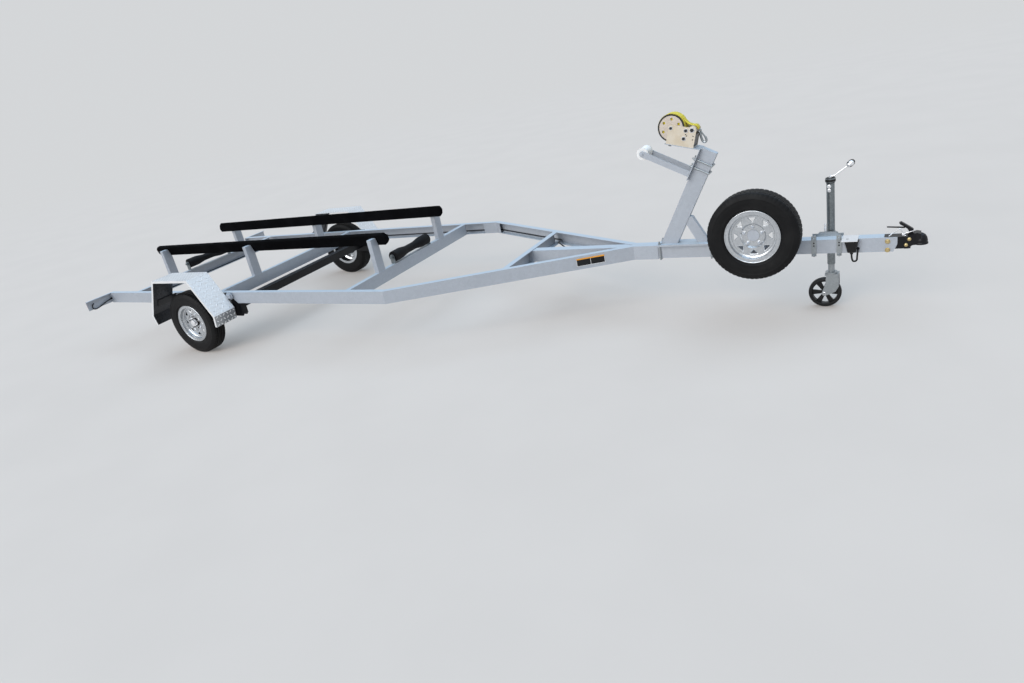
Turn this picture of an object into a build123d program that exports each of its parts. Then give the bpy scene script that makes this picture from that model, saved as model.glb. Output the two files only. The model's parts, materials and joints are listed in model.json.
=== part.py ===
from build123d import *
import math
import os

# A single-axle bunk trailer for a boat, in millimetres.
# +X points forward to the ball coupler, +Y to the trailer's left and +Z up.
# The origin is on the ground, on the centre line, close to the middle of the length.

# Overall stance
AXLE_X = -2071.0          # wheel centre line
RAIL_TOP = 505.0          # top of the frame above the ground
CLEAR = 0.3               # gap left where a curved face seats on another piece

# Rolled channel of the side rails and cross members
CHANNEL_H = 100.0
CHANNEL_B = 45.0
CHANNEL_T = 5.0
RAIL_LOW = RAIL_TOP - CHANNEL_H

# Plan of the frame, along the trailer from the axle
FRAME_HALF = 908.0        # outer face of a side rail
REAR_X = AXLE_X - 1418.0
KINK_X = AXLE_X + 2109.0
JOIN_X = AXLE_X + 3770.0
NOSE_X = AXLE_X + 3950.0
TONGUE_REACH = 1487.0     # end of the tongue ahead of the legs' nose
TONGUE_X = NOSE_X + TONGUE_REACH
TONGUE_W = 76.0
TONGUE_H = CHANNEL_H - 2 * CHANNEL_T
TONGUE_WALL = 4.0
TONGUE_LOW = RAIL_LOW + CHANNEL_T
TONGUE_TOP = TONGUE_LOW + TONGUE_H
TONGUE_HALF = TONGUE_W / 2
NOSE_HALF = TONGUE_HALF + CHANNEL_T + CLEAR
MID_GAP = 1.0             # between the flanges of the two legs over the tongue

# Boxing plates that close the channels at the kink
BOXING_BACK = 150.0
BOXING_FORWARD = 70.0

# Lamp brackets: a plate with a lip along its top, on each rail's rear end
BRACKET_T = 4.0
BRACKET_H = 92.0
BRACKET_LIP = 21.0

# Cross members: front edges
CROSS_REAR_X = REAR_X + 455.0
CROSS_MIDDLE_X = AXLE_X + 263.0
CROSS_FRONT_X = AXLE_X + 1750.0
CROSS_DRAWBAR_X = AXLE_X + 2940.0

# Bunks: carpeted planks on edge, leaning outwards
BUNK_REAR_X = REAR_X + 268.0
BUNK_FRONT_X = CROSS_FRONT_X + 98.0
BUNK_H = 95.0
BUNK_T = 45.0
BUNK_CHAMFER = 26.0
BUNK_Y = 400.0
BUNK_Z = 765.0
BUNK_LEAN = 15.0          # degrees
POST_INNER = 405.0
POST_OUTER = 492.0
POST_T = 40.0
POST_TOP = 781.0

# Keel rollers on pins between ears
KEEL_R = 46.0
KEEL_WAIST_R = 33.0
KEEL_HALF = 250.0
KEEL_PIN_R = 9.0
KEEL_END_GAP = 8.0
EAR_T = 6.0
EAR_W = 44.0
PIN_OUT = 10.0
RUN_FIT = 0.05            # radial clearance of a turning fit
KEEL_REAR_Z = RAIL_TOP + 66.0
KEEL_FRONT_Z = RAIL_TOP + 57.0

# Axle, swing arms and hubs
BEAM_X = AXLE_X + 350.0
BEAM_SIDE = 70.0
MOUNT_T = 6.0
MOUNT_REAR_X = BEAM_X - 150.0
MOUNT_FRONT_X = BEAM_X + 245.0
MOUNT_WIDTH = 92.0
HANGER_WIDTH = 49.0
HANGER_BACK = 50.0        # rear of the hanger box from the beam's middle
HANGER_AHEAD = 135.0
HANGER_LOW = 285.0
HANGER_CORNER = 20.0
HANGER_T = 6.0
SIDE_PLATE_UP = 39.0
ARM_GAP = 7.0             # from the rail's outer face
ARM_Y = FRAME_HALF + ARM_GAP
ARM_T = 30.0
ARM_PIVOT_R = 46.0
ARM_END_R = 34.0
SPINDLE_R = 17.0

# Wheels
TYRE_R = 282.5
TYRE_W = 140.0
TREAD_BACK = 17.0         # tread's edge inside the widest part
BEAD_BACK = 11.0          # bead's outer edge inside the rim's
RIM_FLANGE_R = 170.0
RIM_BARREL_R = 150.0
RIM_WALL = 4.0
RIM_HALF = 57.0
TYRE_GAP = 59.0           # between the rail's outer face and the tyre
WHEEL_Y = FRAME_HALF + TYRE_GAP + TYRE_W / 2
HUB_FACE = 10.0           # hub face outside the middle plane of the wheel
DISC_T = 5.0
BORE_R = 38.0
LUG_CIRCLE_R = 57.15
LUG_HOLE_R = 7.5
STUD_R = 6.0
STUD_OUT = 22.0           # beyond the wheel's disc
NUT_R = 9.0
NUT_H = 14.0
LUGS = 5
WINDOWS = 8
WINDOW_IN_R = 84.0
WINDOW_OUT_R = 126.0
WINDOW_HALF_ANGLE = 15.0
HUB_R = 72.0
DRUM_R = 62.0
CAP_R = 29.0
CAP_OUT = 42.0

# Fenders of tread plate
FENDER_GAP = 32.0         # between the rail's outer face and the fender
FENDER_W = 218.0
FENDER_IN = FRAME_HALF + FENDER_GAP
FENDER_OUT = FENDER_IN + FENDER_W
BRACKET_OUT = FENDER_OUT  # the lamp brackets reach as far out as the fenders
FENDER_TOP = 708.0
FENDER_FLAT = 240.0
FENDER_KNEE_X = 432.0
FENDER_KNEE_Z = 380.0
FENDER_LIP_X = 416.0
FENDER_LIP_Z = 284.0
FENDER_T = 3.0
FENDER_FOLD = 20.0
STAY_T = 6.0
STAY_H = 60.0
STAY_OUT = 190.0

# Spare wheel on the near side of the tongue
SPARE_X = AXLE_X + 4645.0
SPARE_Z = 612.0
SPARE_Y = -226.0          # middle plane of the spare
CARRIER_SIDE = 40.0

# Winch post
POST_LEAN = 28.0          # degrees from upright
POST_DEPTH = 105.0
POST_WIDTH = 50.0
POST_WALL = 4.0
WINCH_POST_X = AXLE_X + 3972.0
WINCH_POST_L = 722.0
BASE_T = 12.0
BASE_REAR_X = NOSE_X + 2.0
BASE_FRONT_X = AXLE_X + 4338.0
BASE_HALF = 62.0
BRACE_HALF = 20.0
BRACE_UP = 210.0
BRACE_W = 60.0
UBOLT_R = 6.0
UBOLT_HOLE_R = 6.5

# Winch plate, winch and strap
PLATE_T = 6.0
PLATE_HALF = 60.0
PLATE_HIGH = WINCH_POST_L - 6.0     # along the post
PLATE_LEG = 218.0
PLATE_LOW = PLATE_HIGH - PLATE_LEG
PLATE_SHELF = 236.0
WINCH_TILT = 15.6         # degrees that the shelf rises rearwards
WINCH_L = 183.0
WINCH_H = 124.5
WINCH_T = 4.0
WINCH_HALF = 57.0
WINCH_AHEAD = 46.0        # front of the winch from the bend of its plate
GEAR_R = 86.0
GEAR_T = 5.0
GEAR_GAP = 1.0            # beside the near side plate
DRUM_CORE_R = 16.0
STRAP_R = 90.0            # the strap as wound on the drum
ROLL_NEAR = -44.0
ROLL_FAR = 34.0
STRAP_W = 50.0
STRAP_T = 3.0

# Bow arm and roller
ARM_BAR_T = 6.0
ARM_BAR_H = 38.0
BOW_UP = 43.0             # middle line of the bars above the plate's lower end
BOW_REACH = 348.0         # roller's pin behind the post
BOW_R = 41.0
BOW_WAIST_R = 26.0
BOW_END_GAP = 5.5
BOW_PIN_R = 8.0
PIN_HEAD = 8.0

# Jack on the far side of the tongue
JACK_X = AXLE_X + 5060.0
JACK_Y = 84.0
JACK_PIVOT_Z = 466.0
JACK_R = 24.0
JACK_WALL = 3.0
JACK_TUBE_LOW = 300.0
JACK_TUBE_TOP = 838.0
JACK_CAP_R = 30.0
JACK_CAP_TOP = 862.0
JACK_INNER_R = 20.0
JACK_COLLAR_LOW = 236.0
JACK_WHEEL_R = 101.6
JACK_WHEEL_W = 46.0
JACK_TRAIL = 40.0
JACK_PIN_R = 8.0

# Coupler
COUPLER_REACH = 162.0     # nose of the head ahead of the tongue's end
COUPLER_X = TONGUE_X + COUPLER_REACH
TOP_CUT = 71.0            # the tongue's top wall stops this far back of its end
TOE_BACK = 20.0           # lower front corner of the tongue, cut off
TOE_UP = 46.0
NECK_T = 6.0
NECK_UP = 16.0            # lower edge of the neck above the tongue's
NECK_AHEAD = 70.0
HEAD_BACK = 36.0          # rear of the head ahead of the tongue's end
HEAD_R = 36.0
LIP_R = 39.0
HEAD_LOW = 445.0
HEAD_TOP = 513.0
SOCKET_X = COUPLER_X - LIP_R
SOCKET_Z = 468.0
SOCKET_R = 26.0
SOCKET_TOP = 486.0
LEVER_HALF = 15.0
TRIGGER_R = 4.5
BOLT_R = 6.0
BOLT_HOLE_R = 6.5
# Columns: ahead of the tongue's end, height, head's radius, head's height
TONGUE_BOLTS = [(-52.0, 475.0, 10.0, 9.0), (-52.0, 421.0, 10.0, 9.0)]
NECK_BOLTS = [(62.0, 485.0, 8.0, 6.0), (46.0, 450.0, 8.0, 6.0)]

# Parked plug and its holder
PLUG_X = TONGUE_X - 247.0
PLUG_Y = -68.0
PLUG_HALF = (42.0, 26.0)          # along and across at its top
PLUG_END_HALF = (23.5, 17.0)
PLUG_LOW = 424.0
PLUG_TAIL = 12.0
PLUG_TAIL_R = 9.0
HOLDER_T = 3.0

# Tail lamps
LAMP_DEEP = 18.0
LAMP_W = 200.0
LAMP_H = 56.0
LAMP_UP = 18.0            # above the bracket's lower edge

# Cables
HARNESS_R = 5.0
PLUG_CABLE_R = 5.5
LAMP_CABLE_R = 5.0

# Plates and reflector on the outer face of each leg: distances from the kink along it
MARKER_START = 1455.0
MARKER_LONG = 100.0
MARKER_GAP = 3.0
MARKER_LOW = RAIL_LOW + 27.0
MARKER_H = 45.0
MARKER_T = 2.0
REFLECTOR_H = 9.0
REFLECTOR_T = 4.0


def box(x0, x1, y0, y1, z0, z1):
    """A box between two corners."""
    middle = Pos((x0 + x1) / 2, (y0 + y1) / 2, (z0 + z1) / 2)
    return middle * Box(abs(x1 - x0), abs(y1 - y0), abs(z1 - z0))


def plan_prism(points, z0, z1):
    """A plan outline of (x, y) points, raised from z0 to z1."""
    face = make_face(Polyline(*[(x, y, z0) for x, y in points], close=True))
    return extrude(face, amount=z1 - z0, dir=(0, 0, 1))


def side_prism(points, y0, y1):
    """A side outline of (x, z) points, carried across from y0 to y1."""
    face = make_face(Polyline(*[(x, y0, z) for x, z in points], close=True))
    return extrude(face, amount=y1 - y0, dir=(0, 1, 0))


def end_prism(points, x0, x1):
    """An end outline of (y, z) points, carried along from x0 to x1."""
    face = make_face(Polyline(*[(x0, y, z) for y, z in points], close=True))
    return extrude(face, amount=x1 - x0, dir=(1, 0, 0))


def rod(start, end, radius):
    """A round bar between two points."""
    start = Vector(*start)
    reach = Vector(*end) - start
    return Solid.make_cylinder(radius, reach.length, Plane(origin=start, z_dir=reach.normalized()))


def across(x, z, half, radius):
    """A round bar across the middle, as long on both sides."""
    return rod((x, -half, z), (x, half, z), radius)


def turned(profile, x, z):
    """A profile of (radius, y) points turned about the cross axis through (x, z)."""
    face = make_face(Polyline(*[(x, y, z + r) for r, y in profile], close=True))
    return revolve(face, axis=Axis((x, 0, z), (0, 1, 0)), revolution_arc=360)


def upright(profile, x, y):
    """A profile of (radius, z) points turned about the upright axis through (x, y)."""
    face = make_face(Polyline(*[(x + r, y, z) for r, z in profile], close=True))
    return revolve(face, axis=Axis((x, y, 0), (0, 0, 1)), revolution_arc=360)


def other_side(shape):
    """The same shape on the other side of the middle."""
    return mirror(shape, about=Plane.XZ)


def inset(points, distance):
    """An open line of points, moved to its right by a distance, with mitred corners."""
    normals = []
    for (ax, ay), (bx, by) in zip(points, points[1:]):
        length = math.hypot(bx - ax, by - ay)
        normals.append(((by - ay) / length, (ax - bx) / length))
    before = [normals[0]] + normals
    after = normals + [normals[-1]]
    moved = []
    for (x, y), (px, py), (qx, qy) in zip(points, before, after):
        scale = distance / (1 + px * qx + py * qy)
        moved.append((x + scale * (px + qx), y + scale * (py + qy)))
    return moved


def band(points, near, far):
    """The closed outline between two insets of an open line."""
    return inset(points, near) + inset(points, far)[::-1]


def union(shapes):
    """Shapes joined to one."""
    joined = shapes[0]
    for shape in shapes[1:]:
        joined = joined + shape
    return joined


def along(points, radius, largest=400.0):
    """A round cable along straight runs joined by arcs as large as the runs allow."""
    radii = []
    for a, b, c in zip(points, points[1:], points[2:]):
        back = Vector(*b) - Vector(*a)
        ahead = Vector(*c) - Vector(*b)
        turn = math.radians(back.get_angle(ahead))
        radii.append(min(largest, 0.45 * min(back.length, ahead.length) / math.tan(turn / 2)))
    print("cable radii", [round(value, 1) for value in radii])
    path = FilletPolyline(*points, radius=radii)
    start = Plane(origin=path @ 0, z_dir=path % 0)
    tube = sweep(start * Circle(radius), path=path)
    print("cable length", round(path.length, 1), "volume ratio",
          round(tube.volume / (math.pi * radius ** 2 * path.length), 4))
    return tube


# Plan of one side rail: straight, then the leg, then the nose along the tongue
RAIL_PLAN = [(REAR_X, FRAME_HALF), (KINK_X, FRAME_HALF), (JOIN_X, NOSE_HALF), (NOSE_X, NOSE_HALF)]


def side_rail():
    """The left rail: a channel that opens inwards and bends into the drawbar leg."""
    inner_side = box(REAR_X - 1, NOSE_X + 1, MID_GAP / 2, FRAME_HALF + 1, RAIL_LOW - 1, RAIL_TOP + 1)
    flange = band(RAIL_PLAN, 0, CHANNEL_B)
    low = plan_prism(flange, RAIL_LOW, RAIL_LOW + CHANNEL_T) & inner_side
    high = plan_prism(flange, RAIL_TOP - CHANNEL_T, RAIL_TOP) & inner_side
    web = plan_prism(band(RAIL_PLAN, 0, CHANNEL_T), RAIL_LOW, RAIL_TOP)
    return web + low + high


def leg_point(run):
    """The plan point at a distance along the left leg's outer face from its kink."""
    share = run / math.hypot(JOIN_X - KINK_X, FRAME_HALF - NOSE_HALF)
    return (KINK_X + (JOIN_X - KINK_X) * share, FRAME_HALF - (FRAME_HALF - NOSE_HALF) * share)


def leg_plate(start, long, thickness, low, height):
    """A plate on the left leg's outer face, from a distance along it."""
    outline = band([leg_point(start), leg_point(start + long)], -thickness, 0)
    return plan_prism(outline, low, low + height)


def boxing_plate():
    """The plate that closes the left channel at its kink."""
    line = [(KINK_X - BOXING_BACK, FRAME_HALF), (KINK_X, FRAME_HALF), leg_point(BOXING_FORWARD)]
    outline = band(line, CHANNEL_B - CHANNEL_T, CHANNEL_B)
    return plan_prism(outline, RAIL_LOW + CHANNEL_T, RAIL_TOP - CHANNEL_T)


def cross_channel(front_x, opens_forward, half):
    """A channel laid across, with its web at the rear where it opens forward."""
    whole = box(front_x - CHANNEL_B, front_x, -half, half, RAIL_LOW, RAIL_TOP)
    shift = CHANNEL_T if opens_forward else -CHANNEL_T
    hollow = box(front_x - CHANNEL_B + shift, front_x + shift, -half - 1, half + 1,
                 RAIL_LOW + CHANNEL_T, RAIL_TOP - CHANNEL_T)
    return whole - hollow


def leg_inner_y(x):
    """Where the inner edge of a leg's flange lies at a station between kink and join."""
    (ax, ay), (bx, by) = inset(RAIL_PLAN, CHANNEL_B)[1:3]
    return ay + (by - ay) * (x - ax) / (bx - ax)


def drawbar_cross_member():
    """The short channel between the two legs, mitred to their flanges."""
    rear_x = CROSS_DRAWBAR_X - CHANNEL_B
    whole = cross_channel(CROSS_DRAWBAR_X, True, FRAME_HALF)
    rear_y = leg_inner_y(rear_x)
    front_y = leg_inner_y(CROSS_DRAWBAR_X)
    outline = [(rear_x, rear_y), (CROSS_DRAWBAR_X, front_y), (CROSS_DRAWBAR_X, -front_y), (rear_x, -rear_y)]
    return whole & plan_prism(outline, RAIL_LOW, RAIL_TOP)


def tongue():
    """The hollow tongue, its top wall cut back and its lower front corner cut off for the coupler."""
    rear_x = CROSS_DRAWBAR_X - CHANNEL_B + CHANNEL_T
    outer = box(rear_x, TONGUE_X, -TONGUE_HALF, TONGUE_HALF, TONGUE_LOW, TONGUE_TOP)
    bore_y = TONGUE_HALF - TONGUE_WALL
    bore = box(rear_x - 1, TONGUE_X + 1, -bore_y, bore_y, TONGUE_LOW + TONGUE_WALL, TONGUE_TOP - TONGUE_WALL)
    top_cut = box(TONGUE_X - TOP_CUT, TONGUE_X + 1, -bore_y, bore_y,
                  TONGUE_TOP - TONGUE_WALL - 1, TONGUE_TOP + 1)
    toe = side_prism([(TONGUE_X, TONGUE_LOW + TOE_UP), (TONGUE_X + 1, TONGUE_LOW + TOE_UP),
                      (TONGUE_X + 1, TONGUE_LOW - 1), (TONGUE_X - TOE_BACK, TONGUE_LOW - 1)],
                     -TONGUE_HALF - 1, TONGUE_HALF + 1)
    body = outer - bore - top_cut - toe
    for ahead, z, _, _ in TONGUE_BOLTS:
        body = body - across(TONGUE_X + ahead, z, TONGUE_HALF + 1, BOLT_HOLE_R)
    return body


def bunk():
    """The left bunk plank, cut back at its ends and leaning outwards."""
    half = BUNK_H / 2
    rear = BUNK_REAR_X
    front = BUNK_FRONT_X
    cut = BUNK_CHAMFER
    outline = [(rear + cut, -half), (rear, -half + cut), (rear, half - cut), (rear + cut, half),
               (front - cut, half), (front, half - cut), (front, -half + cut), (front - cut, -half)]
    plank = side_prism(outline, -BUNK_T / 2, BUNK_T / 2)
    return Pos(0, BUNK_Y, BUNK_Z) * Rot(-BUNK_LEAN, 0, 0) * plank


def bunk_post(front_x):
    """A left post on a cross member, cut along the outer face of the bunk."""
    lean = math.radians(BUNK_LEAN)
    face_y = BUNK_Y + BUNK_T / 2 * math.cos(lean)
    face_z = BUNK_Z - BUNK_T / 2 * math.sin(lean)
    low_y = face_y - BUNK_H / 2 * math.sin(lean)
    low_z = face_z - BUNK_H / 2 * math.cos(lean)
    top_y = face_y + (POST_TOP - face_z) * math.tan(lean)
    outline = [(POST_INNER, RAIL_TOP), (POST_OUTER, RAIL_TOP), (POST_OUTER, POST_TOP),
               (top_y, POST_TOP), (low_y, low_z), (POST_INNER, low_z)]
    middle_x = front_x - CHANNEL_B / 2
    return end_prism(outline, middle_x - POST_T / 2, middle_x + POST_T / 2)


def keel_bracket(front_x, pin_z):
    """Two ears on a cross member and the pin through them."""
    middle_x = front_x - CHANNEL_B / 2
    inner = KEEL_HALF + KEEL_END_GAP
    outer = inner + EAR_T
    half = EAR_W / 2
    parts = [rod((middle_x, -outer - PIN_OUT, pin_z), (middle_x, outer + PIN_OUT, pin_z), KEEL_PIN_R)]
    for side in (-1, 1):
        low, high = sorted((side * inner, side * outer))
        parts.append(box(middle_x - half, middle_x + half, low, high, RAIL_TOP, pin_z))
        parts.append(rod((middle_x, low, pin_z), (middle_x, high, pin_z), half))
    return union(parts)


def keel_roller(front_x, pin_z):
    """A long roller with a narrower waist, bored for its pin."""
    bore = KEEL_PIN_R + RUN_FIT
    # Columns: radius, y
    profile = [(bore, -KEEL_HALF), (KEEL_R, -KEEL_HALF), (KEEL_R, -KEEL_HALF * 0.62),
               (KEEL_WAIST_R, -KEEL_HALF * 0.22), (KEEL_WAIST_R, KEEL_HALF * 0.22),
               (KEEL_R, KEEL_HALF * 0.62), (KEEL_R, KEEL_HALF), (bore, KEEL_HALF)]
    return turned(profile, front_x - CHANNEL_B / 2, pin_z)


BEAM_TOP = RAIL_LOW - MOUNT_T
BEAM_Z = BEAM_TOP - BEAM_SIDE / 2


def axle_beam():
    """The square beam of the torsion axle."""
    half = BEAM_SIDE / 2
    return box(BEAM_X - half, BEAM_X + half, -ARM_Y, ARM_Y, BEAM_Z - half, BEAM_Z + half)


def axle_mount():
    """The left mount: a plate under the rail, an open box hanger round the beam and a plate up the side."""
    inner_y = FRAME_HALF - MOUNT_WIDTH
    box_y = FRAME_HALF - HANGER_WIDTH
    rear = BEAM_X - HANGER_BACK
    front = BEAM_X + HANGER_AHEAD
    plate = box(MOUNT_REAR_X, MOUNT_FRONT_X, inner_y, FRAME_HALF, BEAM_TOP, RAIL_LOW)
    outline = [(rear, BEAM_TOP), (front, BEAM_TOP), (front, HANGER_LOW + HANGER_CORNER),
               (front - HANGER_CORNER, HANGER_LOW), (rear + HANGER_CORNER, HANGER_LOW),
               (rear, HANGER_LOW + HANGER_CORNER)]
    hanger = side_prism(outline, box_y, FRAME_HALF)
    hanger = hanger - box(rear + HANGER_T, front - HANGER_T, box_y + HANGER_T, FRAME_HALF - HANGER_T,
                          HANGER_LOW - 1, BEAM_TOP - HANGER_T)
    half = BEAM_SIDE / 2 + CLEAR
    hanger = hanger - box(BEAM_X - half, BEAM_X + half, box_y - 1, FRAME_HALF + 1,
                          BEAM_TOP - BEAM_SIDE - CLEAR, BEAM_TOP + 1)
    side = side_prism([(rear - 5, BEAM_TOP), (front - 29, BEAM_TOP), (front - 29, RAIL_LOW),
                       (front - 66, RAIL_LOW + SIDE_PLATE_UP), (rear - 5, RAIL_LOW + SIDE_PLATE_UP)],
                      FRAME_HALF, FRAME_HALF + MOUNT_T)
    return plate + hanger + side


def swing_arm():
    """The left trailing arm, with the spindle for the hub."""
    y0 = ARM_Y
    y1 = ARM_Y + ARM_T
    pivot = rod((BEAM_X, y0, BEAM_Z), (BEAM_X, y1, BEAM_Z), ARM_PIVOT_R)
    end = rod((AXLE_X, y0, TYRE_R), (AXLE_X, y1, TYRE_R), ARM_END_R)
    dx = BEAM_X - AXLE_X
    dz = BEAM_Z - TYRE_R
    length = math.hypot(dx, dz)
    nx = -dz / length
    nz = dx / length
    outline = [(BEAM_X + nx * ARM_PIVOT_R, BEAM_Z + nz * ARM_PIVOT_R),
               (AXLE_X + nx * ARM_END_R, TYRE_R + nz * ARM_END_R),
               (AXLE_X - nx * ARM_END_R, TYRE_R - nz * ARM_END_R),
               (BEAM_X - nx * ARM_PIVOT_R, BEAM_Z - nz * ARM_PIVOT_R)]
    blade = side_prism(outline, y0, y1)
    spindle = rod((AXLE_X, y1, TYRE_R), (AXLE_X, WHEEL_Y + HUB_FACE, TYRE_R), SPINDLE_R)
    return union([pivot, end, blade, spindle])


HUB_IN = ARM_Y + ARM_T + 12.0


def hub():
    """The left hub: drum, wheel flange, centre boss and dust cap, bored for the spindle."""
    bore = SPINDLE_R + RUN_FIT
    face = WHEEL_Y + HUB_FACE
    profile = [(bore, HUB_IN), (DRUM_R, HUB_IN), (DRUM_R, face - 16), (HUB_R, face - 16), (HUB_R, face),
               (BORE_R - CLEAR, face), (BORE_R - CLEAR, face + 14), (CAP_R, face + 16),
               (CAP_R, face + CAP_OUT - 8), (CAP_R - 8, face + CAP_OUT), (0, face + CAP_OUT),
               (0, face + 1), (bore, face + 1)]
    return union([turned(profile, AXLE_X, TYRE_R)] + studs(AXLE_X, face, TYRE_R))


def lug_centres(x, z):
    """The wheel bolts' (x, z) places round a wheel's middle, the first at the top."""
    turns = [math.radians(360 * number / LUGS + 90) for number in range(LUGS)]
    return [(x + LUG_CIRCLE_R * math.cos(turn), z + LUG_CIRCLE_R * math.sin(turn)) for turn in turns]


def studs(x, face, z):
    """The studs that pass out through a disc, seated at face, with their nuts."""
    parts = []
    for lug_x, lug_z in lug_centres(x, z):
        seat = face + DISC_T + CLEAR
        parts.append(rod((lug_x, face - 1, lug_z), (lug_x, face + DISC_T + STUD_OUT, lug_z), STUD_R))
        parts.append(rod((lug_x, seat, lug_z), (lug_x, seat + NUT_H, lug_z), NUT_R))
    return parts


def rim(x, y, z):
    """A rim that faces +Y: barrel, flanges and a dished disc with windows."""
    wall = RIM_BARREL_R - RIM_WALL
    face = y + HUB_FACE
    lip = RIM_HALF - 4
    barrel = [(wall, y - RIM_HALF), (RIM_FLANGE_R, y - RIM_HALF), (RIM_FLANGE_R, y - lip),
              (RIM_BARREL_R, y - lip), (RIM_BARREL_R, y + lip), (RIM_FLANGE_R, y + lip),
              (RIM_FLANGE_R, y + RIM_HALF), (wall, y + RIM_HALF)]
    disc = [(BORE_R, face), (WINDOW_IN_R - 12, face), (WINDOW_IN_R - 2, face + 12),
            (WINDOW_OUT_R + 2, face + 12), (wall + 1, face + 2), (wall + 1, face + 2 + DISC_T),
            (WINDOW_OUT_R + 4, face + 12 + DISC_T), (WINDOW_IN_R - 4, face + 12 + DISC_T),
            (WINDOW_IN_R - 14, face + DISC_T), (BORE_R, face + DISC_T)]
    body = turned(barrel, x, z) + turned(disc, x, z)
    cuts = []
    for number in range(WINDOWS):
        middle = math.radians(360 * number / WINDOWS - 90)
        spread = math.radians(WINDOW_HALF_ANGLE)
        # Columns: radius, turn from the window's middle
        corners = [(WINDOW_IN_R, 0.0), (WINDOW_OUT_R, -spread), (WINDOW_OUT_R, spread)]
        outline = [(x + r * math.cos(middle + turn), z + r * math.sin(middle + turn)) for r, turn in corners]
        cuts.append(side_prism(outline, face - 5, face + 30))
    for lug_x, lug_z in lug_centres(x, z):
        cuts.append(rod((lug_x, face - 5, lug_z), (lug_x, face + 30, lug_z), LUG_HOLE_R))
    for cut in cuts:
        body = body - cut
    return body


def tyre(x, y, z):
    """A tyre with bulged side walls that seats round the rim's barrel."""
    half = TYRE_W / 2
    seat = RIM_BARREL_R + CLEAR
    bead = RIM_HALF - BEAD_BACK
    # Columns: radius, y offset of one side, from bead to tread
    side = [(seat, bead), (RIM_FLANGE_R + 56, half), (TYRE_R, half - TREAD_BACK)]
    profile = [(r, y - offset) for r, offset in side] + [(r, y + offset) for r, offset in side[::-1]]
    return turned(profile, x, z)


FENDER_LINE = [(AXLE_X - FENDER_LIP_X, FENDER_LIP_Z), (AXLE_X - FENDER_KNEE_X, FENDER_KNEE_Z),
               (AXLE_X - FENDER_FLAT, FENDER_TOP), (AXLE_X + FENDER_FLAT, FENDER_TOP),
               (AXLE_X + FENDER_KNEE_X, FENDER_KNEE_Z), (AXLE_X + FENDER_LIP_X, FENDER_LIP_Z)]


def fender():
    """The left fender: a bent sheet over the wheel with its outer edge folded down."""
    sheet = side_prism(band(FENDER_LINE, 0, FENDER_T), FENDER_IN, FENDER_OUT)
    fold = side_prism(band(FENDER_LINE, 0, FENDER_FOLD), FENDER_OUT - FENDER_T, FENDER_OUT)
    return sheet + fold


def fender_stay(front):
    """A left stay from the rail's side out under a slope of the fender."""
    sign = 1 if front else -1
    knee = (AXLE_X + sign * FENDER_KNEE_X, FENDER_KNEE_Z)
    top = (AXLE_X + sign * FENDER_FLAT, FENDER_TOP)
    line = [top, knee] if front else [knee, top]
    inner_line = inset(line, FENDER_T)
    outer_line = inset(line, FENDER_T + STAY_T)
    low_z = RAIL_LOW + 40.0
    points = []
    for (ax, az), (bx, bz) in (inner_line, outer_line):
        for level in (low_z, low_z + STAY_H):
            points.append((ax + (bx - ax) * (level - az) / (bz - az), level))
    outline = [points[0], points[1], points[3], points[2]]
    return side_prism(outline, FRAME_HALF, FRAME_HALF + STAY_OUT)


def spare_carrier():
    """The arm on the tongue's near side that holds the spare."""
    half = CARRIER_SIDE / 2
    face = -TONGUE_HALF
    plate = box(SPARE_X - 60, SPARE_X + 60, face - MOUNT_T, face, TONGUE_LOW, TONGUE_TOP)
    upright = box(SPARE_X - half, SPARE_X + half, face - MOUNT_T - CARRIER_SIDE, face - MOUNT_T,
                  TONGUE_LOW + 8, SPARE_Z + half)
    seat_y = SPARE_Y - HUB_FACE
    stub = box(SPARE_X - half, SPARE_X + half, seat_y + 8, face - MOUNT_T - CARRIER_SIDE,
               SPARE_Z - half, SPARE_Z + half)
    flange = rod((SPARE_X, seat_y, SPARE_Z), (SPARE_X, seat_y + 8, SPARE_Z), HUB_R)
    boss = rod((SPARE_X, seat_y - DISC_T - 1, SPARE_Z), (SPARE_X, seat_y, SPARE_Z), BORE_R - 1)
    bolts = [other_side(bolt) for bolt in studs(SPARE_X, -seat_y, SPARE_Z)]
    return union([plate, upright, stub, flange, boss] + bolts)


# Winch post frame of reference: s runs up the post, d runs forward across it
LEAN = math.radians(POST_LEAN)
POST_BASE_Z = TONGUE_TOP + BASE_T


def on_post(s, d):
    """The (x, z) point at s up the post's rear face and d forward of it."""
    x = WINCH_POST_X + s * math.sin(LEAN) + d * math.cos(LEAN)
    z = POST_BASE_Z + s * math.cos(LEAN) - d * math.sin(LEAN)
    return (x, z)


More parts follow.
